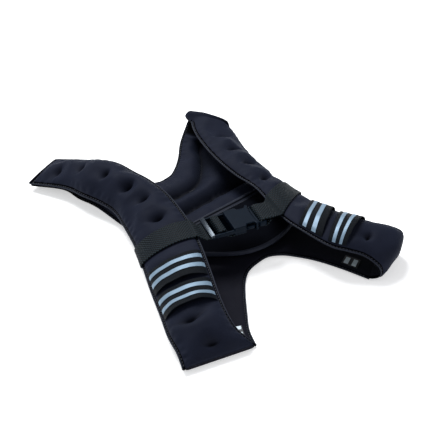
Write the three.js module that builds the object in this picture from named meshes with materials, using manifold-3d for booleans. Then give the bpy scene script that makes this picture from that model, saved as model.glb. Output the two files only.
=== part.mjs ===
// A weighted running vest of padded neoprene, lying on its back on a floor.
// +X is the wearer's left, +Y points to the head, +Z is up, and the origin is on the floor under its middle.

import * as THREE from 'three';
import { mergeVertices } from 'three/addons/utils/BufferGeometryUtils.js';
import Module from 'manifold-3d';

const wasm = await Module();
wasm.setup();

// Driving dimensions, in millimetres
const RIM = 5;                    // two layers of neoprene where a pad is sewn shut
const SEAM_GAP = 0.5;             // between pieces that are sewn together
const LAID_GAP = 0.9;             // between a pad and what lies on its round face
const STRAP_GAP = 1.2;            // between a pad and the chest strap
const POCKET_GAP = 1.3;           // between the back panel and the pocket sewn over it
const YOKE_THICKNESS = 5;
const POCKET_THICKNESS = 3;
const WEBBING_THICKNESS = 1.8;
const ELASTIC_THICKNESS = 1.4;
const STRIPE_THICKNESS = 0.5;
const LABEL_THICKNESS = 0.8;
const TACK_RADIUS = 13;           // how far a tack draws the padding down around it
const QUILT_HALF_WIDTH = 9;       // how far a quilting seam draws it down on each side
const QUILT_DEPTH = 7;

// Where the middle of the laid vest falls in the tables below
const LAY_CENTRE = { x: -18.5, y: -11.6 };

// Front panels, a row for each section from the shoulder seam to the waist seam: the edge towards the
// breastbone, the edge towards the arm, how far the middle stands above the line between them, and the
// padding's thickness there.
const SECTION = ['innerX', 'innerY', 'innerZ', 'outerX', 'outerY', 'outerZ', 'arch', 'pad'];
const RIGHT_SECTIONS = table(SECTION, [
  [-133, 223.5, 15.5, -190.5, 195, 10.2, 1, 7],
  [-106, 173, 33, -158, 147.5, 17.5, 6, 18],
  [-84, 130, 45, -146, 108.5, 22.5, 9, 23],
  [-71, 92, 45, -133, 78, 22, 9, 24],
  [-64, 58, 47, -126, 54, 19, 8, 24],
  [-62, 14, 48, -130, 20, 17, 6, 23],
  [-68, -41, 47, -138, -21, 17, 3, 17],
  [-79, -87, 46, -151, -66, 17, 2, 15],
  [-92, -129, 42, -164, -106, 17, 2, 16],
  [-107, -174, 37, -176, -149, 16, 4, 18],
  [-114, -203, 31, -187, -186, 15, 8, 22],
  [-113, -224, 20, -191, -212, 13, 6, 17],
  [-101.5, -246, 8, -196, -233.5, 8, 0, 6],
]);
const LEFT_SECTIONS = table(SECTION, [
  [73, 183, 46, 112, 139, 34, 4, 11],
  [52, 137, 45, 115, 122, 25, 4, 17],
  [41.5, 90, 46, 110, 90, 21, 5, 21],
  [37, 44, 47, 105, 53, 19, 6, 22],
  [37.5, 4, 48, 101, 17, 18.5, 6, 22],
  [43, -36, 48, 99, -16, 21, 5, 20],
  [35, -103, 48, 104, -54, 25, 3, 15],
  [41, -142, 46, 107, -92, 29, 3, 16],
  [53, -182, 43, 118, -134, 36, 3, 18],
  [68, -199, 40, 133, -167, 39, 3, 19],
  [84, -214, 35, 148.5, -185, 38, 3, 18],
  [96, -229, 22, 157, -201, 34, 2, 13],
  [97, -231, 9, 156.5, -197, 13, 0, 8],
  [88, -222, 3.1, 147.3, -178.5, 3.1, 0, 5],
]);

// Tack stitches that draw the padding down, by section and by share of the width from the inner edge
const TACK = ['row', 'across', 'depth'];
const RIGHT_TACKS = table(TACK, [
  [0.64, 0.68, 5],
  [1.63, 0.54, 7],
  [2.47, 0.54, 9],
  [3.95, 0.52, 10],
  [4.93, 0.46, 10],
  [5.73, 0.45, 10],
  [10.06, 0.6, 8],
  [11.52, 0.52, 5],
]);
const LEFT_TACKS = table(TACK, [
  [1.67, 0.36, 8],
  [2.75, 0.33, 9],
  [3.94, 0.33, 9],
  [5.06, 0.26, 8],
  [9.6, 0.37, 8],
]);

// The back panel, a row for each section round the neck from the right shoulder seam to the left one:
// the neck edge, the armhole or hem edge, and the padding's thickness. It is pressed flat where it lies.
const BACK_SECTION = ['innerX', 'innerY', 'innerZ', 'outerX', 'outerY', 'outerZ', 'pad'];
const BACK_UP_SHARE = 0.7;
const BACK_SECTIONS = table(BACK_SECTION, [
  [-132, 221.5, 6.5, -188.5, 194.5, 4, 7],
  [-112, 180, 5, -151.5, 163.5, 3, 13],
  [-92, 142, 7, -143, 130, 4, 17],
  [-68, 116, 8, -131, 97, 4, 19],
  [-48, 105, 8, -117, 25, 3, 21],
  [-38, 101, 8, -90, -50, 1.5, 21],
  [-29, 99, 8, -50, -88, 1.5, 21],
  [-19, 101, 8, -6, -105, 1.5, 21],
  [-8, 105, 8, 44, -97, 1.5, 21],
  [2, 113, 8, 90, -64, 1.5, 21],
  [12, 123, 8, 102, 4, 3, 20],
  [26, 140, 8, 105, 58, 4, 18],
  [44, 163, 15.5, 107, 100, 7.5, 12],
  [71, 182, 34.5, 111, 138, 22.9, 6],
]);

// The waist yoke, a row for each section from the right waist seam round the back to the left one:
// its arched lower edge and the edge towards the armhole. It lies flat on the floor.
const YOKE_SECTION = ['innerX', 'innerY', 'outerX', 'outerY'];
const YOKE_SECTIONS = table(YOKE_SECTION, [
  [-99.5, -243, -193, -230.5],
  [-91, -216, -176, -194],
  [-77, -191, -156, -152],
  [-59, -161, -130, -112],
  [-45, -141, -98, -78],
  [-30, -127, -56, -58],
  [-12, -120, -20, -52],
  [7, -117, 20, -52],
  [24, -124, 58, -58],
  [38, -137, 94, -80],
  [55, -158, 116, -114],
  [72, -188, 133, -150],
  [87.1, -220.6, 146.4, -177.1],
]);

// Quilting seams on the back panel: one follows the neck this far below it, one runs straight across
const NECK_QUILT_ROWS = { from: 2.2, to: 11.6 };
const NECK_QUILT_DROP = 46;
const CROSS_QUILT = { x: -20, y: 19, slope: 0.19 };
const POCKET_TOP = { x: -20, y: -18, slope: 0.18 };
const POCKET_ROWS = { from: 4.75, to: 9.2 };
const POCKET_RIM = 0.98;         // share of the back panel's depth where the pocket's hem ends

// Chest strap and elastic bands, by the front panel sections that they cover
const STRAP_ROWS = { right: { from: 6.14, to: 6.9 }, left: { from: 5.36, to: 6.04 } };
const BAND_ROWS = {
  right: { upper: { from: 7.4, to: 8.37 }, lower: { from: 8.48, to: 9.4 } },
  left: { upper: { from: 6.75, to: 7.65 }, lower: { from: 7.88, to: 8.82 } },
};
const BAND_SPAN = { from: 0.02, to: 0.98 };
const BAND_BOW = 3.5;             // how far a band stands off the pad along its lower edge
const STRIPE_SPANS = [{ from: 0.18, to: 0.35 }, { from: 0.57, to: 0.74 }];

// Side-release buckle: X runs along the strap, from the ladder-lock end to the pronged end
const BUCKLE_PLACE = { x: -31, y: -84.5, z: 53.5, turn: -0.2, tilt: -0.04, roll: -0.03 };
const BUCKLE_WIDTH = 42;
const STRAP_SLOT = 36;            // clear length of the slots that the webbing goes through
const BAR_HEIGHT = 5;
const SOCKET_HEIGHT = 11;
const SOCKET_WALL = 2;
const LADDER = { end: -34.5, slot1: -29, bar: -20, slot2: -13.5, socket: -2.5 };
const END_BAR_UNDERSIDE = -0.5;    // raised, so that the webbing runs in under it
const SOCKET_END = 30;
const PRONGS = { base: 30.5, slot: 33.5, bar: 38.5, end: 42 };
const PRONG_CLEARANCE = 0.6;

// Colours
const COLOURS = {
  neoprene: { color: 0x15171f, roughness: 0.85 },
  lining: { color: 0x121319, roughness: 0.9 },
  webbing: { color: 0x14171a, roughness: 0.75 },
  elastic: { color: 0x151a1e, roughness: 0.8 },
  reflective: { color: 0xa9bfd1, roughness: 0.45 },
  plastic: { color: 0x0c0e12, roughness: 0.35 },
};

function table(columns, lines) {
  return lines.map((line) => Object.fromEntries(columns.map((name, i) => [name, line[i]])));
}

function materialOf(name) {
  return new THREE.MeshStandardMaterial({ ...COLOURS[name], metalness: 0 });
}

function curveThrough(rows, x, y, z) {
  const points = rows.map((row) => new THREE.Vector3(row[x] ?? 0, row[y] ?? 0, row[z] ?? 0));
  return new THREE.CatmullRomCurve3(points, false, 'catmullrom');
}

function smoothStep(low, high, value) {
  return THREE.MathUtils.smoothstep(value, low, high);
}

// A closed solid between two faces, each given as a function of two shares from 0 to 1.
function closedSheet(along, across, top, bottom) {
  const positions = [];
  const faces = [];
  const perFace = (along + 1) * (across + 1);
  const at = (face, i, j) => face * perFace + i * (across + 1) + j;
  const quad = (a, b, c, d) => faces.push(a, b, c, a, c, d);
  for (const face of [top, bottom]) {
    for (let i = 0; i <= along; i++) {
      for (let j = 0; j <= across; j++) positions.push(...face(i / along, j / across).toArray());
    }
  }
  for (let i = 0; i < along; i++) {
    for (let j = 0; j < across; j++) {
      quad(at(0, i, j), at(0, i + 1, j), at(0, i + 1, j + 1), at(0, i, j + 1));
      quad(at(1, i, j), at(1, i, j + 1), at(1, i + 1, j + 1), at(1, i + 1, j));
    }
    quad(at(0, i, 0), at(1, i, 0), at(1, i + 1, 0), at(0, i + 1, 0));
    quad(at(0, i, across), at(0, i + 1, across), at(1, i + 1, across), at(1, i, across));
  }
  for (let j = 0; j < across; j++) {
    quad(at(0, 0, j), at(0, 0, j + 1), at(1, 0, j + 1), at(1, 0, j));
    quad(at(0, along, j), at(1, along, j), at(1, along, j + 1), at(0, along, j + 1));
  }
  return facingOut(positions, faces);
}

function facingOut(positions, faces) {
  const corner = (i) => new THREE.Vector3().fromArray(positions, 3 * faces[i]);
  let volume = 0;
  for (let i = 0; i < faces.length; i += 3) {
    volume += corner(i).dot(corner(i + 1).cross(corner(i + 2)));
  }
  const geometry = new THREE.BufferGeometry();
  geometry.setAttribute('position', new THREE.Float32BufferAttribute(positions, 3));
  geometry.setIndex(volume < 0 ? faces.slice().reverse() : faces);
  geometry.computeVertexNormals();
  return geometry;
}

// The face of a strip whose sections run from an inner to an outer edge. facing is 1 or -1, for the side
// that its outer face is on, lift raises a point, and dents draws the padding down at a point.
class Strip {
  constructor(rows, { facing = 1, upShare = 0.6, lift = () => 0, dents = () => 0 }) {
    Object.assign(this, { facing, upShare, lift, dents, last: rows.length - 1 });
    this.inner = curveThrough(rows, 'innerX', 'innerY', 'innerZ');
    this.outer = curveThrough(rows, 'outerX', 'outerY', 'outerZ');
    this.form = curveThrough(rows, 'arch', 'pad');
  }

  middle(row) {
    const t = THREE.MathUtils.clamp(row / this.last, 0, 1);
    return this.inner.getPoint(t).add(this.outer.getPoint(t)).multiplyScalar(0.5);
  }

  normal(row) {
    const t = row / this.last;
    const step = 0.05;
    const across = this.outer.getPoint(t).sub(this.inner.getPoint(t));
    const along = this.middle(row + step).sub(this.middle(row - step));
    return across.cross(along).normalize().multiplyScalar(this.facing);
  }

  // The sheet that the padding is built on, at a section and a share of the width
  base(row, share) {
    const t = row / this.last;
    const arch = this.form.getPoint(t).x * 4 * share * (1 - share);
    const point = this.inner.getPoint(t).lerp(this.outer.getPoint(t), share);
    point.addScaledVector(this.normal(row), arch);
    point.z += this.lift(point);
    return point;
  }

  // How far the padding has filled out from the sewn edges, 0 to 1
  fullness(share) {
    return 1 - Math.abs(2 * share - 1) ** 3;
  }

  thickness(row, share) {
    const pad = this.form.getPoint(row / this.last).y;
    return RIM + (pad - RIM) * this.fullness(share);
  }

  top(row, share) {
    const point = this.base(row, share);
    const dent = this.dents(point) * this.fullness(share);
    const rise = this.thickness(row, share) * this.upShare - dent;
    return point.addScaledVector(this.normal(row), rise);
  }

  bottom(row, share) {
    const drop = this.thickness(row, share) * (1 - this.upShare);
    const point = this.base(row, share).addScaledVector(this.normal(row), -drop);
    point.z = Math.max(point.z, this.lift(point));
    return point;
  }

  solid(along, across) {
    const share = (v) => 0.5 * v + 0.25 * (1 - Math.cos(Math.PI * v));
    return closedSheet(
      along, across,
      (u, v) => this.top(u * this.last, share(v)),
      (u, v) => this.bottom(u * this.last, share(v)),
    );
  }

  // A point this far off the outer face, as it is without its dents
  above(row, share, height) {
    const rise = this.thickness(row, share) * this.upShare + height;
    return this.base(row, share).addScaledVector(this.normal(row), rise);
  }
}

// Front panels

function tackDents(tacks, strip) {
  const spots = tacks.map(({ row, across, depth }) => ({ at: strip.base(row, across), depth }));
  return (point) => spots.reduce((sum, { at, depth }) => {
    return sum + depth * Math.exp(-((point.distanceTo(at) / TACK_RADIUS) ** 2));
  }, 0);
}

function frontPanel(rows, tacks, facing) {
  const strip = new Strip(rows, { facing });
  strip.dents = tackDents(tacks, strip);
  return strip;
}

const panels = {
  right: frontPanel(RIGHT_SECTIONS, RIGHT_TACKS, 1),
  left: frontPanel(LEFT_SECTIONS, LEFT_TACKS, -1),
};

// Back panel, with a pocket across its lower part, and the yoke that its hem lies on

function lineY(line, x) {
  return line.y + line.slope * (x - line.x);
}

// The back panel climbs onto the yoke towards its hem.
function yokeLift(point) {
  return (YOKE_THICKNESS + SEAM_GAP) * (1 - smoothStep(-42, -6, point.y));
}

function quiltDents(strip) {
  const { from, to } = NECK_QUILT_ROWS;
  const steps = 24;
  const seam = Array.from({ length: steps + 1 }, (_, i) => {
    const row = from + ((to - from) * i) / steps;
    const t = row / strip.last;
    const width = strip.inner.getPoint(t).distanceTo(strip.outer.getPoint(t));
    return strip.base(row, NECK_QUILT_DROP / Math.max(width, 2 * NECK_QUILT_DROP));
  });
  const draw = (distance) => QUILT_DEPTH * Math.exp(-((distance / QUILT_HALF_WIDTH) ** 2));
  return (point) => {
    const toNeckSeam = Math.min(...seam.map((spot) => Math.hypot(spot.x - point.x, spot.y - point.y)));
    const toCrossSeam = Math.abs(point.y - lineY(CROSS_QUILT, point.x));
    return Math.max(draw(toNeckSeam), draw(toCrossSeam));
  };
}

const back = new Strip(BACK_SECTIONS, { upShare: BACK_UP_SHARE, lift: yokeLift });
back.dents = quiltDents(back);

const yoke = new Strip(
  YOKE_SECTIONS.map((row) => ({ ...row, pad: YOKE_THICKNESS })),
  { upShare: 1 },
);
if (yoke.normal(0).z < 0) yoke.facing = -1;
if (back.normal(0).z < 0) back.facing = -1;

// The share of the back panel's depth where a straight line crosses a section
function shareAtLine(line, row) {
  const t = row / back.last;
  const from = back.inner.getPoint(t);
  const to = back.outer.getPoint(t);
  const gapAt = (point) => point.y - lineY(line, point.x);
  return gapAt(from) / (gapAt(from) - gapAt(to));
}

function pocketSolid() {
  const { from, to } = POCKET_ROWS;
  const at = (u, v, height) => {
    const row = from + (to - from) * u;
    const share = THREE.MathUtils.lerp(shareAtLine(POCKET_TOP, row), POCKET_RIM, v);
    return back.above(row, share, height);
  };
  return closedSheet(
    14, 6,
    (u, v) => at(u, v, POCKET_GAP + POCKET_THICKNESS),
    (u, v) => at(u, v, POCKET_GAP),
  );
}

// A small label on the inside of the yoke, by section and share of its width
function labelSolid(rows, shares) {
  const at = (u, v, height) => yoke.above(
    THREE.MathUtils.lerp(rows.from, rows.to, u),
    THREE.MathUtils.lerp(shares.from, shares.to, v),
    height,
  );
  return closedSheet(
    1, 1,
    (u, v) => at(u, v, SEAM_GAP + LABEL_THICKNESS),
    (u, v) => at(u, v, SEAM_GAP),
  );
}

// Elastic bands and their reflective stripes

function bandHeight(u, v) {
  return LAID_GAP + BAND_BOW * u * Math.sin(Math.PI * v);
}

function bandSolid(panel, rows, span, lowest, thickness, along, across) {
  const at = (u, v, height) => {
    const downBand = THREE.MathUtils.lerp(span.from, span.to, u);
    const share = THREE.MathUtils.lerp(BAND_SPAN.from, BAND_SPAN.to, v);
    const row = THREE.MathUtils.lerp(rows.from, rows.to, downBand);
    return panel.above(row, share, bandHeight(downBand, v) + height);
  };
  return closedSheet(
    along, across,
    (u, v) => at(u, v, lowest + thickness),
    (u, v) => at(u, v, lowest),
  );
}

// Chest strap: webbing laid across a panel from its outer edge, then free to the buckle

function webbingSolid(stations, along, across) {
  const sides = new Map();
  const line = (v) => {
    if (!sides.has(v)) {
      const points = stations.map((station) => station(v));
      sides.set(v, new THREE.CatmullRomCurve3(points, false, 'catmullrom'));
    }
    return sides.get(v);
  };
  const step = 0.004;
  const face = (side) => (u, v) => {
    const low = Math.max(0, u - step);
    const high = Math.min(1, u + step);
    const tangent = line(v).getPoint(high).sub(line(v).getPoint(low));
    const width = line(1).getPoint(u).sub(line(0).getPoint(u));
    const normal = width.cross(tangent).normalize();
    return line(v).getPoint(u).addScaledVector(normal, (side * WEBBING_THICKNESS) / 2);
  };
  return closedSheet(along, across, face(1), face(-1));
}

function stationsOnPanel(panel, rows) {
  const off = STRAP_GAP + WEBBING_THICKNESS / 2;
  const rowAt = (v) => THREE.MathUtils.lerp(rows.from, rows.to, v);
  const outward = (row) => {
    const t = row / panel.last;
    return panel.outer.getPoint(t).sub(panel.inner.getPoint(t)).normalize();
  };
  const under = (v) => {
    const row = rowAt(v);
    return panel.bottom(row, 0.9).addScaledVector(panel.normal(row), -off);
  };
  const roundCorner = (face, side) => (v) => {
    const row = rowAt(v);
    const corner = panel[face](row, 1).addScaledVector(outward(row), off);
    return corner.addScaledVector(panel.normal(row), 0.5 * side * off);
  };
  const over = (share) => (v) => panel.above(rowAt(v), share, off);
  const shares = [0.93, 0.8, 0.62, 0.44, 0.28, 0.18, 0.1, 0.04, 0];
  return [under, roundCorner('bottom', -1), roundCorner('top', 1), ...shares.map(over)];
}

// Buckle

const buckle = new THREE.Group();
buckle.position.set(BUCKLE_PLACE.x, BUCKLE_PLACE.y, BUCKLE_PLACE.z);
buckle.rotation.set(BUCKLE_PLACE.roll, BUCKLE_PLACE.tilt, BUCKLE_PLACE.turn, 'ZYX');
buckle.updateMatrix();

// A station of the webbing at a place in the buckle's own frame
function stationAtBuckle(x, z, direction) {
  const half = (STRAP_SLOT - 1) / 2;
  return (v) => new THREE.Vector3(x, direction * half * (1 - 2 * v), z).applyMatrix4(buckle.matrix);
}

function asManifold(geometry) {
  const bare = geometry.clone();
  bare.deleteAttribute('normal');
  bare.deleteAttribute('uv');
  const merged = mergeVertices(bare, 1e-4);
  return new wasm.Manifold(new wasm.Mesh({
    numProp: 3,
    vertProperties: merged.attributes.position.array,
    triVerts: new Uint32Array(merged.index.array),
  }));
}

function asGeometry(manifold) {
  const { vertProperties, triVerts } = manifold.getMesh();
  const geometry = new THREE.BufferGeometry();
  geometry.setAttribute('position', new THREE.BufferAttribute(vertProperties, 3));
  geometry.setIndex(new THREE.BufferAttribute(triVerts, 1));
  geometry.computeVertexNormals();
  return geometry;
}

function boxBetween(x0, x1, y0, y1, z0, z1) {
  const box = new THREE.BoxGeometry(x1 - x0, y1 - y0, z1 - z0);
  return asManifold(box.translate((x0 + x1) / 2, (y0 + y1) / 2, (z0 + z1) / 2));
}

// A plate drawn from above with rounded corners, its middle at height 0
function plate(x0, x1, width, height, radius) {
  const shape = new THREE.Shape();
  const half = width / 2;
  shape.moveTo(x0 + radius, -half);
  shape.lineTo(x1 - radius, -half);
  shape.absarc(x1 - radius, -half + radius, radius, -Math.PI / 2, 0);
  shape.absarc(x1 - radius, half - radius, radius, 0, Math.PI / 2);
  shape.absarc(x0 + radius, half - radius, radius, Math.PI / 2, Math.PI);
  shape.absarc(x0 + radius, -half + radius, radius, Math.PI, 1.5 * Math.PI);
  const bevel = 1;
  const solid = new THREE.ExtrudeGeometry(shape, {
    depth: height - 2 * bevel,
    bevelSize: bevel,
    bevelOffset: -bevel,
    bevelThickness: bevel,
    bevelSegments: 2,
    curveSegments: 4,
  });
  return asManifold(solid.translate(0, 0, -height / 2 + bevel));
}

// The half with the ladder lock and the sleeve that the prongs snap into
function socketGeometry() {
  const slot = STRAP_SLOT / 2;
  const tall = SOCKET_HEIGHT;
  const cavity = BUCKLE_WIDTH / 2 - SOCKET_WALL - 1;
  const roof = tall / 2 - SOCKET_WALL;
  const window = { from: 14, to: 27 };
  const deep = BUCKLE_WIDTH;
  return asGeometry(
    plate(LADDER.end, LADDER.socket + 4, BUCKLE_WIDTH, BAR_HEIGHT, 3)
      .add(plate(LADDER.socket, SOCKET_END, BUCKLE_WIDTH, tall, 3))
      .subtract(boxBetween(LADDER.end - 1, LADDER.slot1, -slot, slot, -tall, END_BAR_UNDERSIDE))
      .subtract(boxBetween(LADDER.slot1, LADDER.bar, -slot, slot, -tall, tall))
      .subtract(boxBetween(LADDER.slot2, LADDER.socket, -slot, slot, -tall, tall))
      .subtract(boxBetween(LADDER.socket + 3, SOCKET_END + 1, -cavity, cavity, -roof, roof))
      .subtract(boxBetween(window.from, window.to, cavity - 1, deep, -roof, roof))
      .subtract(boxBetween(window.from, window.to, -deep, 1 - cavity, -roof, roof)),
  );
}

// The half with the strap bar, two sprung arms whose pads fill the sleeve's windows, and a guide between them
function prongsGeometry() {
  const slot = STRAP_SLOT / 2;
  const room = BUCKLE_WIDTH / 2 - SOCKET_WALL - 1 - PRONG_CLEARANCE;
  const tall = SOCKET_HEIGHT - 2 * SOCKET_WALL - 2 * PRONG_CLEARANCE;
  const reach = LADDER.socket + 5;
  const arm = 6;
  const padReach = BUCKLE_WIDTH / 2 - 0.5;
  const pad = { from: 15, to: 26 };
  return asGeometry(
    plate(PRONGS.base, PRONGS.end, BUCKLE_WIDTH - 2, BAR_HEIGHT + 2, 3)
      .subtract(boxBetween(PRONGS.slot, PRONGS.bar, -slot, slot, -tall, tall))
      .add(boxBetween(reach, PRONGS.base + 2, room - arm, room, -tall / 2, tall / 2))
      .add(boxBetween(reach, PRONGS.base + 2, -room, arm - room, -tall / 2, tall / 2))
      .add(boxBetween(reach + 4, PRONGS.base + 2, -arm, arm, -tall / 2, tall / 2))
      .add(boxBetween(pad.from, pad.to, room - arm, padReach, -tall / 2, tall / 2))
      .add(boxBetween(pad.from, pad.to, -padReach, arm - room, -tall / 2, tall / 2)),
  );
}

// Webbing round the ladder lock: under the end bar, over the middle bar, and away under the sleeve
const LADDER_ROUTE = table(['x', 'z'], [
  [-40, -2.6],
  [-33, -2.7],
  [-28.5, -3.2],
  [-24.2, -3.4],
  [-22, -2.2],
  [-21.4, 0.4],
  [-21.1, 2.9],
  [-19.2, 4.4],
  [-16.7, 4.6],
  [-14.2, 4.4],
  [-12.4, 2.9],
  [-12.1, 0],
  [-11.5, -3.5],
  [-9.4, -6.6],
  [-4, -8],
  [14, -8],
]);
// Webbing folded round the bar of the pronged half, its end sewn back under itself
const BAR_ROUTE = table(['x', 'z'], [
  [53.5, 4.6],
  [43.5, 5.2],
  [38.5, 4.9],
  [36, 3],
  [35.6, 0],
  [36, -3],
  [38.5, -4.9],
  [42.5, -5.1],
  [45.5, -3.6],
  [47.7, -0.6],
  [50.5, 1.8],
]);

const straps = {
  right: [
    ...stationsOnPanel(panels.right, STRAP_ROWS.right),
    ...LADDER_ROUTE.map(({ x, z }) => stationAtBuckle(x, z, 1)),
  ],
  left: [
    ...stationsOnPanel(panels.left, STRAP_ROWS.left),
    ...BAR_ROUTE.map(({ x, z }) => stationAtBuckle(x, z, 1)),
  ],
};

// Assembly

const vest = new THREE.Group();
vest.position.set(-LAY_CENTRE.x, -LAY_CENTRE.y, 0);
vest.add(buckle);

function addPiece(name, geometry, material, parent = vest) {
  const mesh = new THREE.Mesh(geometry, materialOf(material));
  mesh.name = name;
  parent.add(mesh);
}

addPiece('back_panel', back.solid(44, 12), 'neoprene');
addPiece('back_pocket', pocketSolid(), 'neoprene');
addPiece('waist_yoke', yoke.solid(36, 4), 'lining');
addPiece('label_right', labelSolid({ from: 0.55, to: 1.2 }, { from: 0.1, to: 0.34 }), 'lining');
addPiece('label_left', labelSolid({ from: 10.9, to: 11.5 }, { from: 0.1, to: 0.34 }), 'lining');
addPiece('buckle_socket', socketGeometry(), 'plastic', buckle);
addPiece('buckle_prongs', prongsGeometry(), 'plastic', buckle);

for (const [side, panel] of Object.entries(panels)) {
  addPiece(`front_panel_${side}`, panel.solid(46, 8), 'neoprene');
  addPiece(`chest_strap_${side}`, webbingSolid(straps[side], 2 * straps[side].length - 2, 3), 'webbing');
  for (const [level, rows] of Object.entries(BAND_ROWS[side])) {
    const whole = { from: 0, to: 1 };
    const name = `${side}_${level}`;
    addPiece(`band_${name}`, bandSolid(panel, rows, whole, 0, ELASTIC_THICKNESS, 4, 14), 'elastic');
    STRIPE_SPANS.forEach((span, i) => {
      const lowest = ELASTIC_THICKNESS + SEAM_GAP;
      const stripe = bandSolid(panel, rows, span, lowest, STRIPE_THICKNESS, 1, 14);
      addPiece(`stripe_${name}_${i + 1}`, stripe, 'reflective');
    });
  }
}

export default vest;
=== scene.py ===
# A weighted training vest of padded neoprene, lying on its back on a pale floor, front side up.
# +X is the wearer's left, +Y points to the head and +Z is up. The cloth is drawn from the same sections as
# the CAD solids, in millimetres, and every mesh is made in the frame's metres.

import math

import bpy
import numpy as np
from mathutils import Matrix, Vector


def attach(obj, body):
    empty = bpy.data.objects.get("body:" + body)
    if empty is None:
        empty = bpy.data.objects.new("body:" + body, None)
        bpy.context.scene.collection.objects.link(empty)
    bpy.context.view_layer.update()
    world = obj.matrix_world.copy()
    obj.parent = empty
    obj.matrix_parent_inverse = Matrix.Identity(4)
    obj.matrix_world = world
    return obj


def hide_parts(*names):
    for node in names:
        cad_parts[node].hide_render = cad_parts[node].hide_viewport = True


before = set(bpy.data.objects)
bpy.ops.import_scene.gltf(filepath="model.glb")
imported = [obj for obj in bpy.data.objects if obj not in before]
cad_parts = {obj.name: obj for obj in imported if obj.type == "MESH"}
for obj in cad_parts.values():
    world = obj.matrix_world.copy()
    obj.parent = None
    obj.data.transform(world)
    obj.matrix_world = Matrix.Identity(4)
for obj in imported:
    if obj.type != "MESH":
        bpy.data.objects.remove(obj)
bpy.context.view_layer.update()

MM = 0.001
LAY_CENTRE = np.array([-18.5, -11.6, 0.0])

# Cloth thicknesses and gaps
RIM = 5.0  # two layers of neoprene, sewn together round each pad
PIPING_RADIUS = 0.95  # the round piping in that seam
SEAM = 2.8  # from the edge to the row of stitches behind the piping
SEAM_HALF = 0.2  # half the thickness left at the stitches
SEAM_SLOPE = 1.4  # how soon the cloth is full thickness beyond them
PAINTED_SEAM_SHADE_WIDTH = 2.0  # how far the painted shade of the seam reaches beside the piping
YOKE_THICKNESS = 5.0
SEAM_GAP = 0.5
LAID_GAP = 0.9
STRAP_GAP = 1.2
STRIPE_GAP = 0.12
POCKET_GAP = 1.3
POCKET_THICKNESS = 3.0
WEBBING_THICKNESS = 1.8
WEBBING_WIDTH = 35.0
ELASTIC_THICKNESS = 1.4
STRIPE_THICKNESS = 0.5
LABEL_THICKNESS = 0.8
CORNER_RADIUS = 5.0
EDGE_STEPS = np.array([0, 0.03, 0.13, 0.32, 0.61, 0.95, 1.29, 1.58, 1.77, 1.9, 2.4])  # lines over the piping

# Padding: it starts slack, and the cloth simulation fills it
SLACK = 0.95
PLUMPNESS = 2.4
CLOTH_SETTINGS = {
    "quality": 6, "mass": 0.25, "tension_stiffness": 20, "compression_stiffness": 20, "shear_stiffness": 10,
    "bending_stiffness": 120, "use_pressure": True, "uniform_pressure_force": 9, "shrink_min": -0.012,
    "vertex_group_mass": "held", "pin_stiffness": 1,
}
CLOTH_FRAMES = 20
CLOTH_STEP = 3.4
CLOTH_SMOOTHING = 4
CLOTH_LINES = 14  # across a piece, at least
SWELL_LIMIT = 4.5
LUMP_SIZE = 34
LUMP_WAVES = 9
LUMP_RANGE = (0.6, 1.6)  # of a wavelength, by the size asked for
UNDER_LUMPS = (30, 0.5)  # size and height on the underside
PUCKER_REACH = 4.0  # how far beyond the seam its puckers are, and how wide
PUCKER_WAVES = (11, 23, 37)  # their wavelength, and two that make it uneven
END_REACH = 24.0
END_DROP = 2.2  # how far a waist end bends down to the yoke that it is sewn to
END_FLANGE = 4.5  # the flat band at the right shoulder's end, between its piping and stitches, coloured with the painted seam shade
HOLD_MARGIN = 4.0  # how far beside a strap or band the press that holds the filling cloth fades out
HOLD_SHARE = 0.3  # the cloth is held where that press is more than this
SMOOTH_MARGIN = 9.0  # how far beside them its lumps and puckers fade in
CROWDING = 0.11  # of the cloth's lines towards its sides
FRONT_LINES = (270, 62)  # along a piece and across it
BACK_LINES = (250, 100)
YOKE_LINES = (230, 34)
FOLD_REACH = (6.0, 13.0)  # at an end that folds under, without a welt: the shoulder end and the waist end

# Front panels, from the shoulder seam to the waist seam: the edge towards the breastbone, the edge towards
# the arm, how far the middle stands above the line between them, and the padding's thickness
RIGHT_SECTIONS = np.array([
    [-133, 223.5, 15, -190.5, 195, 9.8, 1, 7],
    [-106, 173, 32.5, -158, 147.5, 17.5, 6, 18],
    [-84, 130, 45.5, -146, 108.5, 22.5, 9, 23],
    [-71, 92, 45, -133, 78, 22, 9, 24],
    [-64, 58, 47, -126, 54, 19, 8, 24],
    [-62, 14, 48, -130, 20, 17, 6, 23],
    [-68, -41, 47, -138, -21, 17, 3, 17],
    [-79, -87, 46, -151, -66, 17, 2, 15],
    [-92, -129, 42, -164, -106, 17, 2, 16],
    [-107, -174, 37, -176, -149, 16, 4, 18],
    [-114, -203, 31, -187, -186, 15, 8, 22],
    [-113, -224, 20, -191, -212, 13, 6, 17],
    [-101.5, -246, 8, -196, -233.5, 8, 0, 6],
])
LEFT_SECTIONS = np.array([
    [73, 183, 43, 112, 139, 32.5, 4, 14],
    [52, 137, 45, 115, 122, 25, 4, 17],
    [41.5, 90, 46, 110, 90, 21, 5, 21],
    [37, 44, 47, 105, 53, 19, 6, 22],
    [37.5, 4, 48, 101, 17, 18.5, 6, 22],
    [43, -36, 48, 99, -16, 21, 5, 20],
    [35, -103, 48, 104, -54, 25, 3, 15],
    [41, -142, 46, 107, -92, 29, 5, 16],
    [53, -182, 43, 118, -134, 36, 5, 18],
    [68, -199, 40, 133, -167, 39, 5, 19],
    [84, -214, 35, 149, -185.5, 38.5, 4, 18],
    [96, -229, 22.5, 157.5, -202, 35, 3, 13],
    [97, -231, 9, 156.5, -197, 13, 0, 8],
    [88, -222, 3.1, 147.3, -178.5, 3.1, 0, 5],
])
FRONT_UP_SHARE = 0.6

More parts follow.
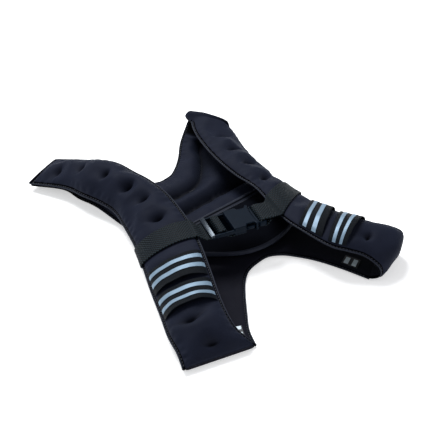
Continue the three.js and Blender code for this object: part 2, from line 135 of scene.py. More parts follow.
# Tack stitches that draw the padding down: section, share of the width from the inner edge, depth, and how
# far the dent reaches across the panel
RIGHT_TACKS = (
    (0.64, 0.62, 8, 10), (1.48, 0.52, 9, 8), (2.45, 0.48, 11, 9), (3.80, 0.49, 12, 10),
    (4.80, 0.43, 12, 10), (5.66, 0.43, 11, 12), (10.0, 0.58, 11, 18), (11.35, 0.50, 7, 9),
)
LEFT_TACKS = (
    (1.69, 0.48, 13, 12), (2.62, 0.48, 15, 13), (3.67, 0.47, 15, 13), (4.79, 0.43, 13, 11),
    (9.60, 0.37, 10, 7),
)
TACK_REACH = (8.0, 2.8)  # how far the slope above a tack reaches, and the one below it
TACK_SHARPNESS = 1.2
TACK_BEND = 45.0  # radius of the crease at the foot of a dent
TACK_SPREAD = 2.3  # a wide shallow hollow round each dent, so many times as far across
TACK_HOLLOW = 0.28  # and this share of the depth
TACK_CORE = (2.6, 1.6, 5.0)  # the nip at a tack itself: its reach above, below and across
TACK_NIP = 0.35  # and this share of the depth, on top of it
PAINTED_CREASE_SHADE = 0.88  # how much shade is painted into the cloth's colour in its deepest creases
PAINTED_SHADE_REACH = (0.5, 0.7, 0.8)  # how far that painted shade reaches, by the dent's reach above, below and across
ROLL = (4.0, 10.5, 2.2)  # a shoulder end rolls in this far from its edge, ends in a crease there, and so high
ROLL_WIDTHS = (2.8, 2.2, 3.0)  # of the roll's crown, of the crease, and of the change at its end
ROLL_CLEAR = 40  # how far from a sewn edge the roll counts as being, so that it has no piping
FLARE = (5.0, 8.0)  # the rolled end stands out beyond the inner edge: along the panel, and how far

# Back panel, round the neck from the right shoulder seam to the left one: the neck edge, the armhole or hem
# edge, and the padding's thickness
BACK_UP_SHARE = 0.7
BACK_SECTIONS = np.array([
    [-132, 221.5, 9.5, -188.5, 194.5, 6, 0, 7],
    [-112, 180, 5, -151.5, 163.5, 3, 0, 13],
    [-92, 142, 7, -143, 130, 4, 0, 17],
    [-68, 116, 8, -131, 97, 4, 0, 19],
    [-48, 105, 8, -117, 25, 3, 0, 21],
    [-38, 101, 8, -90, -50, 1.5, 0, 21],
    [-29, 99, 8, -50, -88, 1.5, 0, 21],
    [-19, 101, 8, -6, -105, 1.5, 0, 21],
    [-8, 105, 8, 44, -97, 1.5, 0, 21],
    [2, 113, 8, 90, -64, 1.5, 0, 21],
    [12, 123, 8, 102, 4, 3, 0, 20],
    [26, 140, 8, 105, 58, 4, 0, 18],
    [44, 163, 15.5, 107, 100, 7.5, 0, 12],
    [71, 182, 38, 111, 138, 26.5, 0, 6],
])
YOKE_CLIMB = (-42, -6)  # between these Y the back comes down off the yoke
NECK_QUILT_ROWS = (2.2, 12.1)
NECK_QUILT_DROP = ((2, 8.5, 11.6), (46, 46, 32))  # sections, and the seam's distance from the neck edge there
NECK_QUILT_FADE = 60  # how far from the seam a place counts as being, for each section beyond its ends
CROSS_QUILT = (-20, 19, 0.19)  # a point of the straight seam and its slope
CROSS_QUILT_ROWS = (4.2, 9.6)
QUILT_DEPTH = 10.5  # a wide valley along each seam, and a narrow one at its foot
QUILT_REACH = 13.0
QUILT_NIP = 6.0
QUILT_NIP_REACH = 3.0
QUILT_HOLD = 2.2
SHOULDER_FOLD = (12.4, 12.9, 9.0)  # sections between which the left shoulder sinks in, and how deep
POCKET_TOP = (-20, -18, 0.18)
POCKET_ROWS = (4.75, 9.2)
POCKET_RIM = 1.015
POCKET_STEPS = (2.0, 1.2)  # between its lines along and across
POCKET_MIDDLE = 0.4  # the share of its depth where its length is measured
POCKET_TAPE = 9.0  # from the pocket's top edge to the stitches of the tape that binds it
POCKET_HOLD = (3.0, 0.2)  # the back is held this far above the pocket, and so many sections beside it
POCKET_LUMPS = (60, 0.7, 5)  # size, height and seed
POCKET_TAUT = 15  # it sags in full this far in from its edges
TAPE_GROOVE = (1.1, 1.2)  # depth and width of the groove at those stitches
TAPE_ROLL = (0.9, 2.5, 3.0)  # height, place and width of the round above it
TAPE_BANDS = ((2.0, 2.0), (7.2, 1.4))  # middle and half width of the tape's pale bands
HEM_RADIUS = 3.2
HEM_PLUMPNESS = 0.6

# Waist yoke, from the right waist seam round the back to the left one: its arched lower edge and the edge
# towards the armhole, flat on the floor
YOKE_EDGES = np.array([
    [-99.5, -243, -193, -230.5], [-91, -216, -176, -194], [-77, -191, -156, -152], [-59, -161, -130, -112],
    [-45, -141, -98, -78], [-30, -127, -56, -58], [-12, -120, -20, -52], [7, -117, 20, -52],
    [24, -124, 58, -58], [38, -137, 94, -80], [55, -158, 116, -114], [72, -188, 133, -150],
    [88, -222.6, 147.3, -179],
])
YOKE_SAG = 0.9  # how far its middle sinks below its rims
YOKE_TAUT = 12  # and it does so in full this far in from its seams
YOKE_LUMPS = (70, 0.5, 21)  # size, height and seed
LABELS = {"right": ((0.55, 1.2), (0.1, 0.34)), "left": ((10.9, 11.5), (0.1, 0.34))}
LABEL_STEP = 1.2
LABEL_CURL = 0.8

# Chest strap and elastic bands, by the front panel sections that they cover
STRAP_ROWS = {"right": (6.14, 6.9), "left": (5.36, 6.04)}
STRAP_SEAM = ((0.4, -1.2), (0.9, 1.6))  # how far out of the rim seam and above it the strap starts
STRAP_STEPS = (1.5, 1.6)  # between its lines along and across
STRAP_SAMPLES = 80  # to measure its length, for each place that it goes through
STRAP_SHARES = (0.965, 0.9, 0.8, 0.62, 0.44, 0.28, 0.18, 0.1, 0.04, 0.0)
BAND_ROWS = {
    "right": {"upper": (7.4, 8.37), "lower": (8.48, 9.4)},
    "left": {"upper": (6.75, 7.65), "lower": (7.88, 8.82)},
}
BAND_INSET = 4.6
BAND_BOW = 4.6  # how far a band stands off its panel
BAND_FREE = 0.75  # the share of that which grows from its upper edge to its lower one
BAND_SWAY = (0.14, 5)  # unevenness of the bow: its share, and radians from end to end
BAND_TUCK = (1.5, 2.5)  # how far its ends dip, and over what length
BAND_RIPPLE = (0.35, 2.3)  # height and number of its ripples
BAND_STEP = 1.3
STRIPE_STEP = 1.0
BAND_STRETCH = 1.12  # its length across the arch of the panel, by the panel's width
BAND_SHOULDERS = (0.26, 0.24)  # a band stands off its panel between these shares, from its ends
STRIPE_SPANS = ((0.18, 0.35), (0.57, 0.74))

# Buckle: X runs along the strap, from the ladder-lock end to the pronged end
BUCKLE_PLACE = (-31, -84.5, 53.5)
BUCKLE_TURN = -0.2
BUCKLE_TILT = -0.04
BUCKLE_ROLL = -0.03
BUCKLE_HALF = 21
SLOT_HALF = 18
LADDER_ROUTE = (
    (-40, -2.6), (-33, -2.7), (-28.5, -3.2), (-24.2, -3.4), (-22, -2.2), (-21.4, 0.4), (-21.1, 2.9),
    (-19.2, 4.4), (-16.7, 4.6), (-14.2, 4.4), (-12.4, 2.9), (-12.1, 0), (-11.5, -3.5), (-9.4, -6.6),
    (-4, -8), (14, -8),
)
BAR_ROUTE = (
    (53.5, 4.6), (43.5, 5.2), (38.5, 4.9), (36, 3), (35.6, 0), (36, -3), (38.5, -4.9), (42.5, -5.1),
    (45.5, -3.6), (47.7, -0.6), (50.5, 1.8),
)

# Camera: the photograph looks down on the waist end from the wearer's right
CAMERA_AZIMUTH = -33.0
CAMERA_ELEVATION = 37.0
CAMERA_DISTANCE = 1.4
CAMERA_LENS = 85.0

# Lights: name, place, aim, size, power and colour
LIGHTS = (
    ("overhead", (0.1, 1.95, 3.05), (0, 0, 0), 2.0, 165, (0.97, 0.985, 1.0)),
    ("front", (0.7, -1.6, 0.6), (0.08, -0.02, 0.01), 0.8, 5.0, (1.0, 0.95, 0.97)),
    ("side", (-1.4, 0.4, 1.1), (0, 0, 0), 1.2, 2.5, (0.93, 0.97, 1.0)),
)
SKY_COLOUR = (0.95, 0.97, 1.0, 1)
SKY_STRENGTH = 0.36


# Curves and strips

def through(points, rows):
    """A smooth curve through the points, at fractional row numbers."""
    points = np.asarray(points, float)
    rows = np.clip(np.asarray(rows, float), 0, len(points) - 1)
    before = 2 * points[:1] - points[1:2]
    after = 2 * points[-1:] - points[-2:-1]
    knots = np.concatenate([before, points, after])
    index = np.minimum(rows.astype(int), len(points) - 2)
    part = (rows - index).reshape(rows.shape + (1,) * (points.ndim - 1))
    previous, start, end, following = (knots[index + k] for k in range(4))
    leave = (end - previous) / 2
    arrive = (following - start) / 2
    cubic = 2 * start - 2 * end + leave + arrive
    square = 3 * end - 3 * start - 2 * leave - arrive
    return cubic * part**3 + square * part**2 + leave * part + start


def smooth_step(low, high, value):
    t = np.clip((value - low) / (high - low), 0, 1)
    return t * t * (3 - 2 * t)


def window(value, low, high, rise, fall):
    """1 from low to high, and smoothly 0 a little outside them."""
    return smooth_step(low - rise, low, value) * (1 - smooth_step(high, high + fall, value))


def hill(value, centre, width):
    """1 at the centre, falling off smoothly on both sides."""
    return np.exp(-(((value - centre) / width) ** 2))


def unit(vectors):
    return vectors / np.linalg.norm(vectors, axis=-1, keepdims=True)


def travelled(points):
    steps = np.linalg.norm(np.diff(points, axis=0), axis=-1)
    return np.concatenate([[0], np.cumsum(steps)])


def bead(distance, radius):
    """Half the thickness of a rounded edge, this far in from it."""
    return radius * np.sqrt(1 - np.clip(1 - distance / radius, 0, 1) ** 2)


def filled(share):
    """How far padding has risen, at a share of the way from its seam to its crown."""
    return 1 - (1 - np.clip(share, 0, 1)) ** PLUMPNESS


def line_gap(line, points):
    """How far points lie above a straight seam, in plan."""
    x, y, slope = line
    return (points[..., 1] - y - slope * (points[..., 0] - x)) / math.hypot(1, slope)


def sewn(edge):
    """Half the thickness near a sewn edge: its piping, the seam behind it, and the cloth beyond."""
    cord = np.sqrt(np.maximum(PIPING_RADIUS**2 - (edge - PIPING_RADIUS) ** 2, 0))
    beyond = 1 - np.exp(-np.maximum(edge - SEAM, 0) / SEAM_SLOPE)
    cloth = SEAM_HALF + (RIM / 2 - SEAM_HALF) * beyond
    return np.where(edge < PIPING_RADIUS, cord, np.maximum(cord * (edge < SEAM), cloth))


def half_thickness(edge, border):
    if edge is None:
        return RIM / 2
    if border is None:
        return sewn(edge)
    return np.minimum(sewn(edge), bead(border, RIM / 2))


class Strip:
    """Sewn cloth between an inner and an outer edge, on the sections of its CAD solid."""

    up_share = 1.0  # how much of its thickness lies above the sections
    flange = 0.0  # a flat band behind the piping at its start
    welted_ends = (True, True)  # whether its start and end are sewn flat, or fold under
    round_ends = (False, False)
    piped_ends = False
    quilted = False  # whether its dents hold the cloth while it fills, or are drawn in afterwards
    uneven = (0.5, 0.45)  # height of the lumps in its filling, and of the puckers along its seams

    def __init__(self, sections):
        self.inner_points = sections[:, 0:3]
        self.outer_points = sections[:, 3:6]
        self.form = sections[:, 6:8]
        self.last = len(sections) - 1
        self.facing = 1
        if self.normal(np.array([self.last / 2.0]))[0, 2] < 0:
            self.facing = -1
        self.fine_rows = np.linspace(0, self.last, 40 * self.last + 1)
        self.fine_lengths = travelled(self.plan(self.fine_rows, 0.5))
        self.length = self.fine_lengths[-1]

    def inner(self, rows):
        return through(self.inner_points, rows)

    def outer(self, rows):
        return through(self.outer_points, rows)

    def plan(self, rows, shares):
        """Points on the straight line between the edges."""
        shares = np.asarray(shares, float)[..., None]
        return self.inner(rows) * (1 - shares) + self.outer(rows) * shares

    def width(self, rows):
        return np.linalg.norm(self.outer(rows) - self.inner(rows), axis=-1)

    def row_at(self, along):
        return np.interp(along, self.fine_lengths, self.fine_rows)

    def along_at(self, rows):
        return np.interp(rows, self.fine_rows, self.fine_lengths)

    def outward(self, rows):
        return unit(self.outer(rows) - self.inner(rows))

    def ahead(self, rows):
        rows = np.asarray(rows, float)
        return unit(self.plan(rows + 0.05, 0.5) - self.plan(rows - 0.05, 0.5))

    def normal(self, rows):
        return self.facing * unit(np.cross(self.outer(rows) - self.inner(rows), self.ahead(rows)))

    def lift(self, points):
        """How high what the strip lies on is."""
        return 0.0

    def laid(self, points):
        """The points, none of them below what the strip lies on."""
        points[..., 2] = np.maximum(points[..., 2], self.lift(points))
        return points

    def base(self, rows, shares):
        arch = through(self.form, rows)[..., 0] * 4 * shares * (1 - shares)
        points = self.plan(rows, shares) + self.normal(rows) * arch[..., None]
        points[..., 2] += self.lift(points)
        return points

    def rolled(self, along):
        """1 in the round roll at a shoulder end that folds under, and 0 beyond it."""
        if self.welted_ends[0]:
            return 0.0
        return 1 - smooth_step(ROLL[1] - ROLL_WIDTHS[2], ROLL[1] + ROLL_WIDTHS[2], along)

    def fill(self, rows, shares):
        """How far the padding has filled out at a place, from 0 at its seams to 1."""
        width = self.width(rows)
        from_side = np.minimum(shares, 1 - shares) * width
        along = self.along_at(rows)
        fill = filled((from_side - SEAM) / (width / 2 - SEAM))
        fill = fill + self.rolled(along) * (filled(from_side / FOLD_REACH[0]) - fill)
        ends = (along - self.flange, self.length - along)
        for distance, welted, fold in zip(ends, self.welted_ends, FOLD_REACH):
            fill = fill * filled((distance - SEAM) / END_REACH if welted else distance / fold)
        return fill

    def welt(self, rows, shares, edge):
        """The distance from a sewn edge that the colours of its piping and its painted seam shade go by."""
        return edge

    def dents(self, rows, shares):
        return 0.0

    def height(self, rows, shares, share, edge, border, swell=1.0):
        """How far a face with this share of the thickness stands off the sections."""
        pad = through(self.form, rows)[..., 1]
        padding = share * (pad - RIM) * swell * self.fill(rows, shares)
        return (share - 0.5) * RIM + padding + half_thickness(edge, border)

    def top(self, rows, shares, edge=None, border=None, swell=SLACK, dented=True):
        """The outer face. edge is the distance from a sewn edge, or None for what only lies on the strip, and
        border the distance from any edge."""
        height = self.height(rows, shares, self.up_share, edge, border, swell)
        if dented:
            height = height - self.dents(rows, shares) * self.fill(rows, shares)
        return self.base(rows, shares) + self.normal(rows) * height[..., None]

    def bottom(self, rows, shares, edge, border):
        depth = self.height(rows, shares, 1 - self.up_share, edge, border)
        return self.laid(self.base(rows, shares) - self.normal(rows) * depth[..., None])


class FrontPanel(Strip):
    up_share = FRONT_UP_SHARE
    round_ends = (True, False)
    piped_ends = True
    uneven = (0.95, 0.7)

    def __init__(self, sections, tacks, welted_ends):
        super().__init__(sections)
        self.tacks = tacks
        self.welted_ends = welted_ends
        self.flange = END_FLANGE if welted_ends[0] else 0.0

    def from_tacks(self, rows, shares):
        """For each tack: how far below its crease and across from it a place is, its depth and its reach."""
        along = self.along_at(rows)
        for row, share, depth, reach in self.tacks:
            across = (shares - share) * self.width(rows)
            yield along - self.along_at(row) + across**2 / (2 * TACK_BEND), across, depth, reach

    def dents(self, rows, shares):
        total = 0.0
        for down, across, depth, reach in self.from_tacks(rows, shares):
            slope = np.abs(down) / np.where(down < 0, *TACK_REACH)
            dent = np.exp(-(slope**TACK_SHARPNESS)) * hill(across, 0, reach)
            hollow = hill(down, 0, TACK_SPREAD * TACK_REACH[0]) * hill(across, 0, TACK_SPREAD * reach)
            core = np.exp(-np.abs(down) / np.where(down < 0, *TACK_CORE[:2])) * hill(across, 0, TACK_CORE[2])
            shape = (1 - TACK_HOLLOW) * dent + TACK_HOLLOW * hollow + TACK_NIP * core
            total = np.maximum(total, depth * shape)
        if not self.welted_ends[0]:
            along = self.along_at(rows)
            crown, crease, height = ROLL
            total = total + height * hill(along, crease, ROLL_WIDTHS[1])
            total = total - height * hill(along, crown, ROLL_WIDTHS[0])
        return total

    def painted_crease_shading(self, rows, shares):
        """How much shade is painted into the cloth's colour in the creases of its dents, from 0 to 1."""
        above, below, sideways = PAINTED_SHADE_REACH
        total = 0.0
        for down, across, _, reach in self.from_tacks(rows, shares):
            near = np.exp(-np.abs(down) / np.where(down < 0, above * TACK_REACH[0], below * TACK_REACH[1]))
            total = np.maximum(total, PAINTED_CREASE_SHADE * near * hill(across, 0, sideways * reach))
        return total


def neck_quilt(rows, width):
    """How far the quilting seam round the neck lies from its edge."""
    return np.minimum(np.interp(rows, *NECK_QUILT_DROP), width / 2)


class BackPanel(Strip):
    up_share = BACK_UP_SHARE
    round_ends = (True, True)
    piped_ends = True
    quilted = True

    def lift(self, points):
        return (YOKE_THICKNESS + SEAM_GAP) * (1 - smooth_step(*YOKE_CLIMB, points[..., 1]))

    def welt(self, rows, shares, edge):
        """Under the pocket's hem and under the right shoulder, the outer rim's piping takes the painted seam
        shade instead of its pale colour.
        """
        start, end = POCKET_ROWS
        plain = ((rows > start) & (rows < end)) | (rows < 3)
        return np.where(plain & (shares > 0.5), np.maximum(edge, 2 * PIPING_RADIUS), edge)

    def seam_distance(self, rows, shares):
        """How far a place is from the nearest quilting seam."""
        width = self.width(rows)
        start, end = NECK_QUILT_ROWS
        beyond = np.maximum(np.maximum(start - rows, rows - end), 0)
        neck = np.abs(shares * width - neck_quilt(rows, width)) + NECK_QUILT_FADE * beyond
        return np.minimum(neck, np.abs(line_gap(CROSS_QUILT, self.plan(rows, shares))))

    def dents(self, rows, shares):
        distance = self.seam_distance(rows, shares)
        nip = QUILT_NIP * np.exp(-distance / QUILT_NIP_REACH)
        valley = QUILT_DEPTH * hill(distance, 0, QUILT_REACH) + nip
        start, end, depth = SHOULDER_FOLD
        return np.maximum(valley, depth * window(rows, start, end, 0.15, 0.2))

    def painted_crease_shading(self, rows, shares):
        # painted shade along the quilting seams, and near-black in the left shoulder's hollow
        distance = self.seam_distance(rows, shares)
        seam = 0.6 * np.exp(-distance / QUILT_NIP_REACH) + 0.4 * hill(distance, 0, QUILT_REACH)
        start, end, _ = SHOULDER_FOLD
        return np.maximum(PAINTED_CREASE_SHADE * seam, window(rows, start + 0.1, end, 0.2, 0.2))


# Meshes

def to_frame(points):
    return (np.asarray(points, float) - LAY_CENTRE) * MM


def spaced(length, step, edge):
    """Distances from 0 to length: the given ones in from each edge, and even steps between them."""
    count = max(2, int(round((length - 2 * edge[-1]) / step)))
    even = np.linspace(edge[-1], length - edge[-1], count + 1)
    return np.concatenate([edge[:-1], even, length - edge[-2::-1]])


def thin_edge(thickness):
    return thickness / 2 * np.array([0, 0.08, 0.3, 0.65, 1.0])


def edge_distance(along, across):
    """Distance from the nearest edge, for a grid of rows and columns given by their distances."""
    rows = np.minimum(along, along[-1] - along)
    columns = np.minimum(across, across[-1] - across)
    return np.minimum(rows[:, None], columns[None, :])


def quads(index):
    corners = [index[:-1, :-1], index[1:, :-1], index[1:, 1:], index[:-1, 1:]]
    return np.stack(corners, axis=-1).reshape(-1, 4)


def turned(points, faces, outward):
    """The faces, all turned over if they look against the outward directions, one for each face."""
    first, second, third = (points[faces[:, k]] for k in range(3))
    return faces[:, ::-1] if np.sum(np.cross(second - first, third - first) * outward) < 0 else faces


def linked(name, data):
    thing = bpy.data.objects.new(name, data)
    bpy.context.collection.objects.link(thing)
    return thing


def add_piece(name, mesh, materials, spread=None):
    """A smooth piece on the vest's body. spread gives each face's material by number."""
    for look in materials:
        mesh.materials.append(look)
    if spread is not None:
        mesh.polygons.foreach_set("material_index", np.asarray(spread, np.int32))
    mesh.polygons.foreach_set("use_smooth", np.ones(len(mesh.polygons), bool))
    mesh.update()
    piece = linked(name, mesh)
    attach(piece, "root")
    return piece


def add_mesh(name, points, faces, materials, uv=None, spread=None, crease=None):
    """A piece with this mesh, its faces turned outwards. uv has a place for each point, in metres."""
    faces = turned(points, faces, points[faces[:, 0]] - points.mean(axis=0))
    mesh = bpy.data.meshes.new(name)
    mesh.from_pydata(points.tolist(), [], faces.tolist())
    if uv is not None:
        mesh.uv_layers.new(name="cloth").data.foreach_set("uv", uv[faces.ravel()].ravel())
    # crease holds, for each point, the shade painted into the neoprene's colour
    if crease is not None:
        mesh.attributes.new("crease", "FLOAT", "POINT").data.foreach_set("value", crease.astype(np.float32))
    return add_piece(name, mesh, materials, spread)


def both_faces(top, bottom):
    """The values of both faces, with those on the border they share once."""
    kind = top.shape[2:]
    return np.concatenate([top.reshape(-1, *kind), bottom[1:-1, 1:-1].reshape(-1, *kind)])


def closed_cloth(name, top, bottom, along, across, materials, welt=None, spread=None, crease=None):
    """A closed mesh from two faces, grids of points that meet along their border. With a welt, the distance
    from a sewn edge, the materials are those of the cloth, the piping, the painted shade at the seam and
    under the rim, and perhaps the underside."""
    upper = np.arange(top[..., 0].size).reshape(top.shape[:2])
    lower = upper.copy()
    inside = lower[1:-1, 1:-1]
    inside[:] = upper.size + np.arange(inside.size).reshape(inside.shape)
    faces = np.concatenate([quads(upper), quads(lower)[:, ::-1]])
    place = np.stack(np.broadcast_arrays(along, across), axis=-1) * MM
    if welt is not None:
        distance = (welt[:-1, :-1] + welt[1:, :-1] + welt[:-1, 1:] + welt[1:, 1:]).ravel() / 4
        piping = 2 * PIPING_RADIUS
        # painted shade: near-black beside the piping on the top face, and along the rim on the underside
        dark = np.where(distance < piping + PAINTED_SEAM_SHADE_WIDTH, 2, 0)
        under = np.where((dark == 0) & (len(materials) > 3), 3, dark)
        spread = np.concatenate([np.where(distance < piping - 0.1, 1, dark), under])
    # the painted crease shade, on the top face only
    if crease is not None:
        crease = both_faces(crease, np.zeros_like(crease))
    points = to_frame(both_faces(top, bottom))
    return add_mesh(name, points, faces, materials, both_faces(place, place), spread, crease)


def thick_sheet(name, middle, normal, along, across, thickness, materials, roll=0.0, spread=None):
    """A closed sheet with round edges about a grid of points. roll adds to half its thickness, for a hem."""
    half = normal * (bead(edge_distance(along, across), thickness / 2) + roll)[..., None]
    along, across = along[:, None], across[None, :]
    return closed_cloth(name, middle + half, middle - half, along, across, materials, None, spread)


def stands_for(piece, node):
    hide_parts(node)
    return piece


# Cloth simulation

def puffed(sheet, held, normal):
    """How far cloth held at some points moves when filling presses it out, for a grid of points in mm."""
    scene = bpy.context.scene
    points = sheet.reshape(-1, 3)
    index = np.arange(len(points)).reshape(sheet.shape[:2])
    faces = turned(points, quads(index), normal[:-1, :-1].reshape(-1, 3))
    mesh = bpy.data.meshes.new("filling")
    mesh.from_pydata((points * MM).tolist(), [], faces.tolist())
    cloth_object = linked("filling", mesh)
    group = cloth_object.vertex_groups.new(name="held")
    group.add(np.flatnonzero(held.ravel()).tolist(), 1.0, "REPLACE")
    cloth = cloth_object.modifiers.new("filling", "CLOTH")
    for name, value in CLOTH_SETTINGS.items():
        setattr(cloth.settings, name, value)
    cloth.settings.effector_weights.gravity = 0.0
    cloth.collision_settings.use_collision = False
    cloth.collision_settings.use_self_collision = False
    cloth.point_cache.frame_start = 1
    cloth.point_cache.frame_end = CLOTH_FRAMES
    for number in range(1, CLOTH_FRAMES + 1):
        scene.frame_set(number)
    settled = cloth_object.evaluated_get(bpy.context.evaluated_depsgraph_get()).data
    places = np.empty(points.size)
    settled.vertices.foreach_get("co", places)
    bpy.data.objects.remove(cloth_object)
    bpy.data.meshes.remove(mesh)
    scene.frame_set(1)
    moved = places.reshape(sheet.shape) / MM - sheet
    for _ in range(CLOTH_SMOOTHING):
        near = np.pad(moved, ((1, 1), (1, 1), (0, 0)), mode="edge")
        around = near[:-2, 1:-1] + near[2:, 1:-1] + near[1:-1, :-2] + near[1:-1, 2:]
        moved = np.where(held[..., None], moved, (moved + around / 4) / 2)
    far = np.linalg.norm(moved, axis=-1, keepdims=True)
    return moved * SWELL_LIMIT * np.tanh(far / SWELL_LIMIT) / np.maximum(far, 1e-6)


def lumps(points, size, height, seed):
    """Soft unevenness of a filling, from a few waves in fixed directions."""
    random = np.random.default_rng(seed)
    total = np.zeros(points.shape[:-1])
    for _ in range(LUMP_WAVES):
        direction = unit(random.normal(size=3))
        wavelength = size * random.uniform(*LUMP_RANGE)
        total += np.sin(points @ direction * 2 * math.pi / wavelength + random.uniform(0, 7))
    return height * total / math.sqrt(LUMP_WAVES)


def round_corners(along, length, across, width, ends):
    """How far points near a corner move, along and across, to round it. ends says which ends have any."""
    from_end = np.minimum(along if ends[0] else length, length - along if ends[1] else length)
    from_side = np.minimum(across, width - across)
    near_end = np.clip(1 - from_end / CORNER_RADIUS, 0, 1)
    near_side = np.clip(1 - from_side / CORNER_RADIUS, 0, 1)
    move_along = CORNER_RADIUS * near_end * (1 - np.sqrt(1 - near_side**2 / 2))
    move_across = CORNER_RADIUS * near_side * (1 - np.sqrt(1 - near_end**2 / 2))
    return (
        np.where(along < length / 2, move_along, -move_along),
        np.where(across < width / 2, move_across, -move_across),
    )


def crowded(count):
    """Places from 0 to 1 that crowd towards both ends."""
    even = np.linspace(0, 1, count)
    return even - CROWDING * np.sin(2 * math.pi * even)


def strip_grid(strip, along_count, across_count):
    """A grid over a strip, fine at its edges: distances along and across, rows, shares, and distances from
    the nearest sewn edge and the nearest edge of any kind."""
    inside = SEAM + (strip.length - 2 * SEAM) * np.linspace(0, 1, along_count)
    along = np.concatenate([EDGE_STEPS, inside, strip.length - EDGE_STEPS[::-1]])[:, None]
    width = strip.width(strip.row_at(along[:, 0]))[:, None]
    rim = np.broadcast_to(EDGE_STEPS[None, :], (len(along), len(EDGE_STEPS)))
    inside = SEAM + (width - 2 * SEAM) * crowded(across_count)[None, :]
    across = np.concatenate([rim, inside, width - rim[:, ::-1]], axis=1)
    edge = border = np.minimum(across, width - across)
    start = np.maximum(along - strip.flange, np.minimum(along, 2.1 * PIPING_RADIUS))
    for distance, welted in zip((start, strip.length - along), strip.welted_ends):
        if strip.piped_ends:
            border = np.minimum(border, distance)
            edge = np.minimum(edge, distance) if welted else edge
    edge = edge + ROLL_CLEAR * strip.rolled(along)
    move_along, move_across = round_corners(along, strip.length, across, width, strip.round_ends)
    rows = strip.row_at(along + move_along)
    shares = np.clip((across + move_across) / width, 0, 1)
    return along, across, rows, shares, edge, border


def swelling(strip, held_at, along_count, across_count):
    """The cloth simulation's movement of a strip's padded face, on a grid of that many lines."""
    long = int(strip.length / CLOTH_STEP)
    wide = max(CLOTH_LINES, int(np.median(strip.width(strip.fine_rows)) / CLOTH_STEP))
    along = np.linspace(SEAM, strip.length - SEAM, long)
    rows = np.broadcast_to(strip.row_at(along)[:, None], (long, wide))
    width = strip.width(rows)
    shares = (SEAM + (width - 2 * SEAM) * np.linspace(0, 1, wide)[None, :]) / width
    held = held_at(rows, shares)
    held[along < SEAM + strip.flange + 0.1, :] = True
    held[-1, :] = True
    held[:, [0, -1]] = True
    moved = puffed(strip.top(rows, shares, dented=strip.quilted), held, strip.normal(rows))
    down = through(moved, np.linspace(0, long - 1, along_count))
    whole = through(down.swapaxes(0, 1), crowded(across_count) * (wide - 1)).swapaxes(0, 1)
    border = (len(EDGE_STEPS), len(EDGE_STEPS))
    return np.pad(whole, (border, border, (0, 0)))


def padded_strip(name, strip, held_at, counts, seed, pressed):
    """A padded piece: its sewn edges, its dents, and what the simulation adds. pressed is 1 under a strap."""
    along, across, rows, shares, edge, border = strip_grid(strip, *counts)
    normal = strip.normal(rows)
    fill = strip.fill(rows, shares)
    loose = 1 - pressed(rows)
    top = strip.top(rows, shares, edge, border)
    pucker = hill(edge, SEAM + PUCKER_REACH, PUCKER_REACH) * (edge > SEAM)
    run = np.where(np.minimum(along, strip.length - along) < edge + 0.01, across, along)
    pitch, shift, swap = PUCKER_WAVES
    wave = np.sin(run * 2 * math.pi / pitch + 2 * np.sin(run / shift + seed)) * np.sin(run / swap + seed)
    lump, pull = strip.uneven
    uneven = lumps(top, LUMP_SIZE, lump, seed) * fill * loose + pull * wave * pucker * loose
    top = top + normal * uneven[..., None] + swelling(strip, held_at, *counts)
    bottom = strip.bottom(rows, shares, edge, border)
    bottom = strip.laid(bottom + normal * (lumps(bottom, *UNDER_LUMPS, seed + 1) * fill)[..., None])
    if not strip.welted_ends[1]:
        drop = END_DROP * np.clip(1 - (strip.length - along) / (2 * RIM), 0, 1) ** 4
        top = top - normal * drop[..., None]
    if not strip.welted_ends[0]:
        place, reach = FLARE
        flare = reach * hill(along, place, place) * (1 - shares) ** 3
        droop = reach * np.exp(-along / place) * shares**5
        shift = strip.ahead(rows) * droop[..., None] - strip.outward(rows) * flare[..., None]
        top = top + shift
        bottom = bottom + shift
    # the crease attribute carries the shade painted at the dents and quilting
    piece = closed_cloth(
        f"{name}_cloth", top, bottom, along, across, [neoprene, binding, painted_seam_shade, lining],
        strip.welt(rows, shares, edge), crease=strip.painted_crease_shading(rows, shares),
    )
    return stands_for(piece, name)


# Stitches

STITCH_PITCH = 4.2
STITCH_LENGTH = 3.1
STITCH_RADIUS = 0.42
STITCH_SIDES = 6
STITCH_FREE = 0.1  # sections without stitches at each end of a seam
STITCH_RINGS = np.array([[-0.5, 0.1], [-0.42, 0.75], [-0.2, 1.0], [0.2, 1.0], [0.42, 0.75], [0.5, 0.1]])


def sampled(values, done, where):
    """Values at distances along a line, each ready to spread over a stitch's rings and sides."""
    return np.stack([np.interp(where, done, column) for column in values.T], axis=-1)[:, None, None]


def stitches(name, runs):
    """Thread along rows of stitches, each given by points and the side that it shows on."""
    turn = np.arange(STITCH_SIDES)[:, None] * 2 * math.pi / STITCH_SIDES
    size = len(STITCH_RINGS) * STITCH_SIDES
    index = np.arange(size).reshape(-1, STITCH_SIDES)
    tube = quads(np.concatenate([index, index[:, :1]], axis=1).T)
    place = STITCH_RINGS[:, None, :1] * STITCH_LENGTH
    girth = STITCH_RINGS[:, None, 1:] * STITCH_RADIUS
    points = []
    for line, facing in runs:
        done = travelled(line)
        at = np.arange(STITCH_PITCH / 2, done[-1] - STITCH_PITCH / 4, STITCH_PITCH)
        forward = unit(sampled(line, done, at + 0.5) - sampled(line, done, at - 0.5))
        side = unit(np.cross(forward, sampled(facing, done, at)))
        up = np.cross(side, forward)
        centre = sampled(line, done, at) + up * 0.1 * STITCH_RADIUS
        ring = centre + forward * place + (side * np.cos(turn) + up * np.sin(turn)) * girth
        points.append(ring.reshape(-1, 3))
    points = np.concatenate(points)
    starts = np.arange(0, len(points), size)
    piece = add_mesh(name, to_frame(points), (starts[:, None, None] + tube).reshape(-1, 4), [thread])
    return piece


